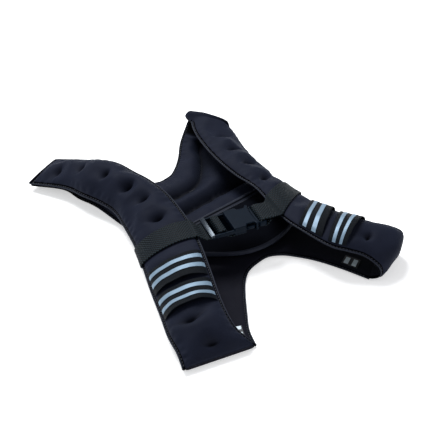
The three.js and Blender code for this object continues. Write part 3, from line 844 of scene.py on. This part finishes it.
def seam_run(strip, inner, count=160):
    """The row of stitches behind the piping on a strip's inner or outer edge."""
    rows = np.linspace(STITCH_FREE, strip.last - STITCH_FREE, count)
    share = SEAM / strip.width(rows)
    return strip.top(rows, share if inner else 1 - share, np.full(count, SEAM)), strip.normal(rows)


def end_run(strip, count=40):
    """The row of stitches behind the dark band at a strip's start."""
    rows = np.full(count, strip.row_at(SEAM + strip.flange - 0.6))
    reach = SEAM / strip.width(rows[:1])[0]
    shares = np.linspace(reach, 1 - reach, count)
    return strip.top(rows, shares, np.full(count, SEAM)), strip.normal(rows)


# Materials

class Shader:
    """A material's nodes, added one at a time to its Principled shader."""

    def __init__(self, name):
        self.material = bpy.data.materials.new(name)
        self.material.use_nodes = True
        self.tree = self.material.node_tree

    def plug(self, socket, value):
        if isinstance(value, bpy.types.NodeSocket):
            self.tree.links.new(value, socket)
        else:
            socket.default_value = value

    def set(self, **values):
        shader = self.tree.nodes["Principled BSDF"]
        for name, value in values.items():
            self.plug(shader.inputs[name.replace("_", " ")], value)
        return self.material

    def node(self, kind, out=0, settings=None, **inputs):
        """A node's output. An input is named, or numbered with a line before its number."""
        node = self.tree.nodes.new(kind)
        for name, value in (settings or {}).items():
            setattr(node, name, value)
        for name, value in inputs.items():
            key = int(name[1:]) if name[1:].isdigit() else name.replace("_", " ")
            self.plug(node.inputs[key], value)
        return node.outputs[out]

    def cloth(self):
        """Distance along the piece and across it, in metres."""
        place = self.node("ShaderNodeTexCoord", out="UV")
        split = self.node("ShaderNodeSeparateXYZ", _0=place).node
        return split.outputs[0], split.outputs[1]

    def math(self, operation, *values):
        inputs = {f"_{number}": value for number, value in enumerate(values)}
        return self.node("ShaderNodeMath", settings={"operation": operation}, **inputs)

    def wave(self, value, wavelength, shift=0.0):
        """A wave from 0 to 1 of this wavelength in metres."""
        angle = self.math("MULTIPLY_ADD", value, 2 * math.pi / wavelength, shift)
        return self.math("MULTIPLY_ADD", self.math("SINE", angle), 0.5, 0.5)

    def noise(self, size, detail):
        """Noise from 0 to 1 whose features are about this large, in metres."""
        place = self.node("ShaderNodeTexCoord", out="Object")
        return self.node("ShaderNodeTexNoise", Vector=place, Scale=1 / size, Detail=detail)

    def between(self, factor, low, high):
        return self.node("ShaderNodeMapRange", Value=factor, To_Min=low, To_Max=high)

    def mix(self, factor, first, second):
        """A colour between two, the first of them a colour or a node's output."""
        if not isinstance(first, bpy.types.NodeSocket):
            first = (*first, 1)
        return self.node(
            "ShaderNodeMix", out=2, settings={"data_type": "RGBA"}, _0=factor, _6=first, _7=(*second, 1)
        )

    def bump(self, height, distance, strength, **below):
        return self.node("ShaderNodeBump", Height=height, Distance=distance, Strength=strength, **below)

    def finish(self, colour, rough, relief, **more):
        """Colour and roughness, each a factor and its two ends, and relief with its depth and strength."""
        return self.set(
            Base_Color=self.mix(*colour), Roughness=self.between(*rough), Normal=self.bump(*relief), **more
        )


def neoprene_material(name, dark, light, roughness, knit=0.0009, sheen=0.03):
    """Neoprene faced with a fine jersey knit, with shade painted into its colour, towards near-black, where
    the crease attribute marks dents and creases.
    """
    look = Shader(name)
    along, across = look.cloth()
    knitted = look.math("MULTIPLY", look.wave(along, knit), look.wave(across, knit * 0.8))
    # painted shade: the crease attribute mixes the colour towards near-black in dents, quilting and the
    # shoulder hollow
    crease = look.node("ShaderNodeAttribute", out="Fac", settings={"attribute_name": "crease"})
    return look.set(
        Base_Color=look.mix(crease, look.mix(look.noise(0.03, 4), dark, light), (0.0009, 0.001, 0.0016)),
        Roughness=look.between(look.noise(0.012, 3), roughness - 0.06, roughness + 0.08),
        Normal=look.bump(look.noise(0.006, 3), 0.0004, 0.35, Normal=look.bump(knitted, 0.00012, 0.5)),
        Sheen_Weight=sheen,
        Sheen_Roughness=0.45,
        Sheen_Tint=(0.5, 0.65, 1.0, 1),
        Specular_IOR_Level=2 * sheen,
    )


def binding_material():
    """Nylon tape with fine cross ribs, folded over the sewn edges."""
    look = Shader("binding")
    along, across = look.cloth()
    ribs = look.math("MULTIPLY", look.wave(along, 0.0011), look.wave(across, 0.0011))
    return look.finish(
        (look.noise(0.02, 3), (0.0100, 0.0125, 0.0215), (0.0150, 0.0185, 0.0305)),
        (look.noise(0.01, 2), 0.5, 0.66),
        (ribs, 0.0002, 0.6),
        Specular_IOR_Level=0.12,
        Sheen_Weight=0.04,
        Sheen_Roughness=0.4,
        Sheen_Tint=(0.6, 0.72, 1.0, 1),
    )


def webbing_material():
    """Polypropylene webbing in a twill: diagonal ridges, each of crossing threads."""
    look = Shader("webbing")
    along, across = look.cloth()
    aside = look.math("ABSOLUTE", look.math("SUBTRACT", across, WEBBING_WIDTH / 2 * MM))
    ridge = look.wave(look.math("ADD", along, aside), 0.0042)
    threads = look.wave(look.math("SUBTRACT", along, aside), 0.0042)
    height = look.math("MULTIPLY", ridge, threads)
    # painted light and shade: the colour follows the twill's height, light on its ridges and near-black
    # between them
    painted_twill_shade = look.math("MULTIPLY", height, look.between(look.noise(0.015, 3), 0.8, 1.2))
    return look.finish(
        (painted_twill_shade, (0.0003, 0.0008, 0.0014), (0.0225, 0.0380, 0.0510)),
        (threads, 0.5, 0.66),
        (height, 0.0009, 1.0),
        Specular_IOR_Level=0.1,
    )


def elastic_material():
    """Woven elastic: cords along its length, crossed by fine threads."""
    look = Shader("elastic")
    along, across = look.cloth()
    cords = look.math("MULTIPLY", look.wave(along, 0.0019), 0.8)
    height = look.math("ADD", cords, look.math("MULTIPLY", look.wave(across, 0.0009), 0.25))
    # painted shade: the colour follows the weave's height, darker between its cords
    return look.finish(
        (height, (0.0003, 0.0009, 0.0020), (0.0018, 0.0042, 0.0078)),
        (look.noise(0.008, 3), 0.55, 0.72),
        (height, 0.0005, 0.8),
        Specular_IOR_Level=0.1,
    )


def reflective_material():
    """Silver retroreflective tape: a fine embossed grid under a satin face, a little scuffed."""
    look = Shader("reflective")
    along, across = look.cloth()
    lines = [look.wave(look.math(turn, along, across), 0.0016) for turn in ("ADD", "SUBTRACT")]
    grid = look.math("MULTIPLY", *lines)
    scuff = look.noise(0.009, 5)
    worn = look.math("ADD", look.math("MULTIPLY", grid, 0.3), look.math("MULTIPLY", scuff, 0.7))
    return look.finish(
        (worn, (0.13, 0.205, 0.28), (0.225, 0.32, 0.42)),
        (scuff, 0.36, 0.58),
        (grid, 0.00015, 0.5),
        Metallic=0.25,
    )


def plastic_material(name, roughness, shine, light=1.0):
    """Black acetal with a fine moulded grain."""
    look = Shader(name)
    dark, pale = light * np.array([[0.0016, 0.0040, 0.0088], [0.0030, 0.0068, 0.0140]])
    return look.finish(
        (look.noise(0.01, 3), dark, pale),
        (look.noise(0.005, 4), roughness - 0.06, roughness + 0.06),
        (look.noise(0.0006, 2), 0.00008, 0.5),
        Specular_IOR_Level=shine,
        Specular_Tint=(0.72, 0.86, 1.0, 1),
    )


def label_material():
    """Dark woven label with two plain pale bars."""
    look = Shader("label")
    along, across = look.cloth()
    bars = look.math("GREATER_THAN", look.wave(along, 0.011, -math.pi / 2), 0.4)
    middle = look.math("LESS_THAN", look.math("ABSOLUTE", look.math("SUBTRACT", across, 0.008)), 0.0065)
    weave = look.wave(across, 0.0007)
    return look.finish(
        (look.math("MULTIPLY", bars, middle), (0.006, 0.007, 0.011), (0.62, 0.72, 0.78)),
        (weave, 0.4, 0.55),
        (weave, 0.0001, 0.5),
    )


def thread_material():
    """Twisted polyester thread."""
    look = Shader("thread")
    twist = look.noise(0.0007, 2)
    return look.finish(
        (twist, (0.010, 0.012, 0.018), (0.03, 0.034, 0.046)), (twist, 0.45, 0.6), (twist, 0.0001, 0.6)
    )


neoprene = neoprene_material("neoprene", (0.0060, 0.0076, 0.0152), (0.0102, 0.0128, 0.0252), 0.66)
lining = neoprene_material("lining", (0.0042, 0.0043, 0.0078), (0.0072, 0.0074, 0.0131), 0.7, knit=0.0012)
pocket_cloth = neoprene_material(
    "pocket_cloth", (0.0013, 0.0016, 0.0030), (0.0023, 0.0028, 0.0050), 0.85, sheen=0.01
)
# near-black cloth that paints the shade in seams, under rims and on the right shoulder end's band
painted_seam_shade = neoprene_material(
    "painted_seam_shade", (0.0006, 0.0008, 0.0014), (0.0014, 0.0017, 0.0028), 0.85, sheen=0.005
)
binding = binding_material()
webbing = webbing_material()
elastic = elastic_material()
reflective = reflective_material()
plastic = plastic_material("plastic", 0.42, 0.06)
polished = plastic_material("plastic_polished", 0.24, 0.5)  # where the strap has rubbed it
slot_painted_shade = plastic_material("plastic_slot_painted_shade", 0.9, 0.0, 0.12)  # near-black plates that paint the shade in its slots
woven = label_material()
thread = thread_material()


# Front panels, held down where the strap and the bands lie on them

panels = {
    "right": FrontPanel(RIGHT_SECTIONS, RIGHT_TACKS, (True, False)),
    "left": FrontPanel(LEFT_SECTIONS, LEFT_TACKS, (False, False)),
}


def pressed_on(side, margin):
    """A function of the section: 1 where a strap or band presses the panel flat, falling to 0 beside it."""
    panel = panels[side]
    spans = [panel.along_at(rows) for rows in (STRAP_ROWS[side], *BAND_ROWS[side].values())]

    def pressed(rows):
        along = panel.along_at(rows)
        return np.max([window(along, *span, margin, margin) for span in spans], axis=0)

    return pressed


for number, (side, panel) in enumerate(panels.items()):
    tight = pressed_on(side, HOLD_MARGIN)
    piece = padded_strip(
        f"front_panel_{side}", panel, lambda rows, shares: tight(rows) > HOLD_SHARE, FRONT_LINES, 11 + number,
        pressed_on(side, SMOOTH_MARGIN),
    )
    runs = [seam_run(panel, inner) for inner in (True, False)]
    if panel.welted_ends[0]:
        runs.append(end_run(panel))
    stitches(f"stitches_front_{side}", runs)


# Back panel and its pocket

back = BackPanel(BACK_SECTIONS)


def back_hold(rows, shares):
    """Where the back is held while it fills: under the pocket and along its quilting."""
    start, end = POCKET_ROWS
    above, beside = POCKET_HOLD
    covered = line_gap(POCKET_TOP, back.plan(rows, shares)) < above
    under_pocket = covered & (rows > start - beside) & (rows < end + beside)
    return under_pocket | (back.seam_distance(rows, shares) < QUILT_HOLD)


back_piece = padded_strip("back_panel", back, back_hold, BACK_LINES, 31, np.zeros_like)


def line_share(line, rows):
    """The share of the back panel's depth where a straight line crosses a section."""
    start = line_gap(line, back.inner(rows))
    end = line_gap(line, back.outer(rows))
    return start / (start - end)


def pocket_face(rows, down):
    """The pocket's middle surface at a share of the way down from its top edge."""
    first = line_share(POCKET_TOP, rows)
    shares = first + (POCKET_RIM - first) * down
    height = POCKET_GAP + POCKET_THICKNESS / 2
    return back.top(rows, shares, dented=False, swell=1.0) + back.normal(rows) * height


def pocket():
    """The pocket and its stitches, with its length and mean depth."""
    rows_line = np.linspace(*POCKET_ROWS, 400)
    length = travelled(pocket_face(rows_line, np.full_like(rows_line, POCKET_MIDDLE)))
    along = spaced(length[-1], POCKET_STEPS[0], thin_edge(POCKET_THICKNESS))
    rows = np.interp(along, length, rows_line)
    upper, lower = (pocket_face(rows, np.full(len(rows), down)) for down in (0.0, 1.0))
    depth = np.mean(np.linalg.norm(upper - lower, axis=-1))
    across = spaced(depth, POCKET_STEPS[1], thin_edge(POCKET_THICKNESS))
    rows, down = np.broadcast_arrays(rows[:, None], across[None, :] / depth)
    middle = pocket_face(rows, down)
    normal = back.normal(rows)
    groove, groove_width = TAPE_GROOVE
    crown, crown_place, crown_width = TAPE_ROLL
    tape = groove * hill(across, POCKET_TAPE, groove_width) - crown * hill(across, crown_place, crown_width)
    from_hem = depth - across - HEM_RADIUS
    roll = HEM_PLUMPNESS * np.sqrt(np.clip(HEM_RADIUS**2 - from_hem**2, 0, None))[None, :]
    sag = lumps(middle, *POCKET_LUMPS) * smooth_step(0, POCKET_TAUT, edge_distance(along, across))
    middle = middle + normal * (sag - tape[None, :])[..., None]
    at = (across[:-1] + across[1:]) / 2
    bound = depth - at < HEM_RADIUS
    for place, half in TAPE_BANDS:
        bound = bound | (np.abs(at - place) < half)
    looks = np.tile(np.where(bound, 1, 0), 2 * (len(along) - 1))
    piece = thick_sheet(
        "back_pocket_cloth", middle, normal, along, across, POCKET_THICKNESS, [pocket_cloth, binding],
        roll, looks,
    )
    stands_for(piece, "back_pocket")
    column = np.argmin(np.abs(across - POCKET_TAPE))
    facing = normal[2:-2, column]
    line = middle[2:-2, column] + facing * POCKET_THICKNESS / 2
    return piece, stitches("stitches_pocket", [(line, facing)]), along[-1], depth


pocket_piece, pocket_stitches, pocket_length, pocket_depth = pocket()

neck_rows = np.linspace(*NECK_QUILT_ROWS, 200)
neck_shares = neck_quilt(neck_rows, back.width(neck_rows)) / back.width(neck_rows)
cross_rows = np.linspace(*CROSS_QUILT_ROWS, 160)
stitches("stitches_back", [
    seam_run(back, True, 240),
    seam_run(back, False, 400),
    (back.top(neck_rows, neck_shares), back.normal(neck_rows)),
    (back.top(cross_rows, line_share(CROSS_QUILT, cross_rows)), back.normal(cross_rows)),
])


# Waist yoke and its labels

yoke_sections = np.zeros((len(YOKE_EDGES), 8))
yoke_sections[:, [0, 1, 3, 4]] = YOKE_EDGES
yoke_sections[:, 7] = YOKE_THICKNESS
yoke = Strip(yoke_sections)


def waist_yoke():
    along, across, rows, shares, edge, border = strip_grid(yoke, *YOKE_LINES)
    top = yoke.top(rows, shares, edge, border)
    bottom = yoke.bottom(rows, shares, edge, border)
    ends = np.minimum(along, yoke.length - along)
    inside = smooth_step(SEAM, SEAM + YOKE_TAUT, np.minimum(edge, ends))
    top = top + yoke.normal(rows) * ((lumps(top, *YOKE_LUMPS) - YOKE_SAG) * inside)[..., None]
    piece = closed_cloth("waist_yoke_cloth", top, bottom, along, across, [lining, binding, painted_seam_shade], edge)
    return stands_for(piece, "waist_yoke")


def label(side):
    """A label sewn to the yoke, its free corner a little curled."""
    rows, shares = LABELS[side]
    corner = yoke.top(np.array([rows[0], rows[1], rows[0]]), np.array([shares[0], shares[0], shares[1]]))
    length, width = np.linalg.norm(corner[1:] - corner[0], axis=-1)
    along, across = (spaced(size, LABEL_STEP, thin_edge(LABEL_THICKNESS)) for size in (length, width))
    down, reach = np.broadcast_arrays(along[:, None] / length, across[None, :] / width)
    rows = rows[0] + (rows[1] - rows[0]) * down
    shares = shares[0] + (shares[1] - shares[0]) * reach
    normal = yoke.normal(rows)
    height = SEAM_GAP + LABEL_THICKNESS / 2 + LABEL_CURL * down**2 * reach
    middle = yoke.top(rows, shares) + normal * height[..., None]
    piece = thick_sheet(f"label_{side}_woven", middle, normal, along, across, LABEL_THICKNESS, [woven])
    return stands_for(piece, f"label_{side}")


yoke_piece = waist_yoke()
yoke_stitches = stitches("stitches_yoke", [seam_run(yoke, inner, 240) for inner in (True, False)])
label_pieces = [label(side) for side in LABELS]
yoke_area = np.trapz(yoke.width(yoke.fine_rows), yoke.fine_lengths) * MM * MM


# Elastic bands and their reflective stripes

def band_place(panel, row, reach, down, width, phase):
    """A band's underside and its normal. down goes from its upper edge to its lower one and reach from its
    inner end to its outer one, both from 0 to 1."""
    inset = BAND_INSET / panel.width(row)
    share = inset + (1 - 2 * inset) * reach
    rise = np.clip(np.minimum(reach / BAND_SHOULDERS[0], (1 - reach) / BAND_SHOULDERS[1]), 0, 1)
    rise = (rise + np.sin(rise * math.pi / 2)) / 2
    sway, sway_turns = BAND_SWAY
    tuck, tuck_reach = BAND_TUCK
    ripple, ripples = BAND_RIPPLE
    free = 1 - BAND_FREE + BAND_FREE * down
    stand = BAND_BOW * free * rise * (1 + sway * np.sin(sway_turns * reach + phase))
    tucked = tuck * hill(np.minimum(reach, 1 - reach) * width, 0, tuck_reach)
    rippled = ripple * np.sin(2 * math.pi * reach * ripples + phase + 2 * down) * np.sin(math.pi * reach)
    height = LAID_GAP + stand - tucked + rippled
    normal = panel.normal(row)
    return panel.top(row, share, dented=False) + normal * height[..., None], normal


def band(side, level, phase):
    panel = panels[side]
    start, end = BAND_ROWS[side][level]
    length = float(panel.along_at(end) - panel.along_at(start))
    width = float(panel.width(np.array([(start + end) / 2]))[0]) * BAND_STRETCH

    def layer(node, kind, look, span, step, thickness, height):
        """One cloth over a span of the band, this high above its underside."""
        tape = length * (span[1] - span[0])
        along = spaced(tape, step, thin_edge(thickness))
        across = spaced(width, BAND_STEP, thin_edge(thickness))
        down, reach = np.broadcast_arrays(
            span[0] + (span[1] - span[0]) * along[:, None] / tape, across[None, :] / width
        )
        points, normal = band_place(panel, start + (end - start) * down, reach, down, width, phase)
        middle = points + normal * (height + thickness / 2)
        piece = thick_sheet(f"{node}_{kind}", middle, normal, along, across, thickness, [look])
        return stands_for(piece, node)

    piece = layer(
        f"band_{side}_{level}", "elastic", elastic, (0, 1), BAND_STEP, ELASTIC_THICKNESS, 0.0
    )
    tapes = [
        layer(
            f"stripe_{side}_{level}_{number}", "tape", reflective, span, STRIPE_STEP,
            STRIPE_THICKNESS, ELASTIC_THICKNESS + STRIPE_GAP,
        )
        for number, span in enumerate(STRIPE_SPANS, 1)
    ]


for phase, (side, level) in enumerate([(side, level) for side in BAND_ROWS for level in BAND_ROWS[side]]):
    band(side, level, 1.7 * phase)


# Chest strap

buckle_matrix = np.array(
    Matrix.Translation(BUCKLE_PLACE) @ Matrix.Rotation(BUCKLE_TURN, 4, "Z")
    @ Matrix.Rotation(BUCKLE_TILT, 4, "Y") @ Matrix.Rotation(BUCKLE_ROLL, 4, "X")
)


def at_buckle(points):
    return np.asarray(points, float) @ buckle_matrix[:3, :3].T + buckle_matrix[:3, 3]


def panel_stations(side, down):
    """Lines across the strap where it lies on a panel, from the rim seam that it is sewn into."""
    panel = panels[side]
    start, end = STRAP_ROWS[side]
    rows = start + (end - start) * down
    normal = panel.normal(rows)
    rim = panel.base(rows, np.ones(len(down)))
    stations = [rim + panel.outward(rows) * out + normal * up for out, up in STRAP_SEAM]
    for share in STRAP_SHARES:
        face = panel.top(rows, np.full(len(down), share), dented=False)
        stations.append(face + normal * (STRAP_GAP + WEBBING_THICKNESS / 2))
    return stations


def strap(side, route):
    across = spaced(WEBBING_WIDTH, STRAP_STEPS[1], thin_edge(WEBBING_THICKNESS))
    down = across / WEBBING_WIDTH
    sideways = (0.5 - down) * WEBBING_WIDTH
    level = np.ones(len(down))
    free = [at_buckle(np.stack([x * level, sideways, z * level], axis=-1)) for x, z in route]
    knots = np.stack([*panel_stations(side, down), *free])
    places = np.linspace(0, len(knots) - 1, STRAP_SAMPLES * len(knots))
    length = travelled(through(knots[:, len(down) // 2], places))
    along = spaced(length[-1], STRAP_STEPS[0], thin_edge(WEBBING_THICKNESS))
    at = np.interp(along, length, places)
    middle = through(knots, at)
    tangent = through(knots, at + 0.06) - through(knots, at - 0.06)
    normal = unit(np.cross((middle[:, -1] - middle[:, 0])[:, None], tangent))
    name = f"chest_strap_{side}"
    piece = thick_sheet(f"{name}_webbing", middle, normal, along, across, WEBBING_THICKNESS, [webbing])
    stands_for(piece, name)


strap("right", LADDER_ROUTE)
strap("left", BAR_ROUTE)


# Buckle, from moulded plates with rounded edges

def rounded(corners, steps=5):
    """A closed outline with its corners rounded, each corner given as x, y and radius."""
    corners = np.array(corners, float)
    outline = []
    for k, (x, y, radius) in enumerate(corners):
        here = np.array([x, y])
        start = here + unit(corners[k - 1, :2] - here) * radius
        end = here + unit(corners[(k + 1) % len(corners), :2] - here) * radius
        for t in np.linspace(0, 1, steps):
            outline.append((1 - t) ** 2 * start + 2 * t * (1 - t) * here + t * t * end)
    return outline


def box_outline(x0, x1, y0, y1, radius):
    return rounded([(x0, y0, radius), (x1, y0, radius), (x1, y1, radius), (x0, y1, radius)])


def plate(outline, holes, low, high, bevel):
    """Points and faces of a plate between two heights, cut through by holes, with rounded edges."""
    curve = bpy.data.curves.new("plate", "CURVE")
    curve.dimensions = "2D"
    curve.fill_mode = "BOTH"
    curve.extrude = (high - low) / 2 - bevel
    curve.bevel_depth = bevel
    curve.bevel_resolution = 3
    curve.offset = -bevel
    for loop in [outline, *(hole[::-1] for hole in holes)]:
        spline = curve.splines.new("POLY")
        spline.points.add(len(loop) - 1)
        spline.points.foreach_set("co", np.array([(x, y, 0, 1) for x, y in loop]).ravel())
        spline.use_cyclic_u = True
    drawn = bpy.data.objects.new("plate", curve)
    mesh = bpy.data.meshes.new_from_object(drawn)
    points = np.array([vertex.co[:] for vertex in mesh.vertices]) + [0, 0, (low + high) / 2]
    faces = [list(polygon.vertices) for polygon in mesh.polygons]
    bpy.data.objects.remove(drawn)
    bpy.data.curves.remove(curve)
    bpy.data.meshes.remove(mesh)
    return points, faces


def bar(profile, half, bevel):
    """A bar across the buckle, its section given in x and z."""
    points, faces = plate(rounded(profile), [], -half, half, bevel)
    return points[:, [0, 2, 1]], [face[::-1] for face in faces]


def moulded(name, plates, finishes=None):
    """One half of the buckle, from its plates. finishes gives some of them, by number, another finish."""
    points, faces, spread = [], [], []
    for number, (plate_points, plate_faces) in enumerate(plates):
        count = len(points)
        points.extend(plate_points)
        faces.extend([index + count for index in face] for face in plate_faces)
        spread.extend([(finishes or {}).get(number, 0)] * len(plate_faces))
    mesh = bpy.data.meshes.new(name)
    mesh.from_pydata(to_frame(at_buckle(points)).tolist(), [], faces)
    piece = add_piece(f"{name}_moulding", mesh, [plastic, polished, slot_painted_shade], spread)
    mesh.set_sharp_from_angle(angle=math.radians(38))
    stands_for(piece, name)


def sleeve_outline():
    """The sleeve's top seen from above: notched where the sprung arms show, with a hollowed front edge."""
    corners = [
        (-3, BUCKLE_HALF, 2.5), (13.5, BUCKLE_HALF, 1.3), (15, 16.6, 1.5), (25.8, 16.6, 1.5),
        (27, BUCKLE_HALF, 1.3), (31, BUCKLE_HALF, 1.5), (28.5, 10.5, 7),
    ]
    return rounded([(x, -y, radius) for x, y, radius in corners] + corners[::-1])


def socket():
    ladder = rounded([
        (-34, -BUCKLE_HALF, 1.4), (0, -BUCKLE_HALF, 1.5), (0, BUCKLE_HALF, 1.5), (-34, BUCKLE_HALF, 1.4),
        (-34, SLOT_HALF, 1), (-20, SLOT_HALF, 1), (-20, -SLOT_HALF, 1), (-34, -SLOT_HALF, 1),
    ])
    shade_plate_half = SLOT_HALF + 0.4
    plates = [
        plate(ladder, [box_outline(-13.5, -2.5, -SLOT_HALF, SLOT_HALF, 1)], -2.5, 2.5, 0.7),
        bar([(-34.6, -0.4, 0.5), (-29.4, -0.4, 0.5), (-29, 4.2, 0.8), (-34.8, 2.2, 0.8)], BUCKLE_HALF, 0.7),
        # near-black plates in the slots, which paint the shade there
        bar([(-29.6, -1, 0.3), (-23.1, -1.6, 0.3), (-23, -0.8, 0.3), (-29.4, 0.8, 0.3)], shade_plate_half, 0.25),
        bar([(-9.8, -3.4, 0.3), (-2, -4.2, 0.3), (-2, -3.4, 0.3), (-9.8, -2, 0.3)], shade_plate_half, 0.25),
        plate(sleeve_outline(), [], 3.4, 5.6, 0.8),
        plate(sleeve_outline(), [], -5.6, -3.4, 0.8),
        plate(box_outline(-3, 0.5, -BUCKLE_HALF, BUCKLE_HALF, 1.5), [], -5.2, 5.2, 0.6),
    ]
    for low, high in ((-20.7, -18.2), (18.2, 20.7)):
        for start, end in ((-3, 13.5), (27, 29.8)):
            plates.append(plate(box_outline(start, end, low, high, 0.8), [], -5, 5, 0.5))
    # plates 2 and 3 take the near-black finish that paints the slots' shade
    moulded("buckle_socket", plates, {1: 1, 2: 2, 3: 2})


def prongs():
    head = rounded([
        (29.8, -10.5, 7), (32.5, -20, 2), (42.6, -20, 3), (41.6, 0, 8), (42.6, 20, 3), (32.5, 20, 2),
        (29.8, 10.5, 7),
    ])
    plates = [
        plate(head, [box_outline(33.5, 38.3, -SLOT_HALF, SLOT_HALF, 1)], -3.5, 3.5, 1.2),
        plate(box_outline(9, 32, -5.5, 5.5, 2), [], -2.6, 2.6, 0.7),
    ]
    arm = [
        (2, 12.3, 1.5), (32, 12.3, 1), (32, 17.4, 1), (26, 17.4, 1), (25.2, 20.3, 1.5), (17, 20.3, 1.5),
        (14.5, 17.4, 1.5),
    ]
    for side in (-1, 1):
        outline = rounded([(x, side * y, radius) for x, y, radius in arm[::side]])
        plates.append(plate(outline, [], -2.7, 0.9, 0.7))
    moulded("buckle_prongs", plates)


socket()
prongs()


# Floor, light and camera

def floor():
    look = Shader("floor")
    mesh = bpy.data.meshes.new("floor")
    reach = 6.0
    low = -0.0004
    corners = [(-reach, -reach, low), (reach, -reach, low), (reach, reach, low), (-reach, reach, low)]
    mesh.from_pydata(corners, [], [(0, 1, 2, 3)])
    mesh.materials.append(look.set(
        Base_Color=look.mix(look.noise(0.4, 2), (0.86, 0.865, 0.87), (0.88, 0.88, 0.885)),
        Roughness=0.9,
        Specular_IOR_Level=0.1,
        Emission_Color=(1, 1, 1, 1),
        Emission_Strength=0.5,
    ))
    linked("floor", mesh)


def area_light(name, place, aim, size, power, colour):
    light = bpy.data.lights.new(name, "AREA")
    light.shape = "DISK"
    light.size = size
    light.energy = power
    light.color = colour
    lamp = linked(name, light)
    lamp.location = place
    lamp.rotation_euler = (Vector(aim) - Vector(place)).to_track_quat("-Z", "Y").to_euler()


def camera():
    azimuth = math.radians(CAMERA_AZIMUTH)
    elevation = math.radians(CAMERA_ELEVATION)
    level = math.cos(elevation)
    back_to = Vector((math.sin(azimuth) * level, -math.cos(azimuth) * level, math.sin(elevation)))
    lens = bpy.data.cameras.new("camera")
    lens.lens = CAMERA_LENS
    lens.sensor_width = 36
    view = linked("camera", lens)
    view.location = Vector(-LAY_CENTRE * MM) + back_to * CAMERA_DISTANCE
    view.rotation_euler = (-back_to).to_track_quat("-Z", "Y").to_euler()
    bpy.context.scene.camera = view


floor()
for light in LIGHTS:
    area_light(*light)
world = bpy.data.worlds.new("studio")
world.use_nodes = True
sky = world.node_tree.nodes["Background"].inputs
sky["Color"].default_value = SKY_COLOUR
sky["Strength"].default_value = SKY_STRENGTH
bpy.context.scene.world = world
bpy.context.scene.view_settings.view_transform = "Standard"
camera()
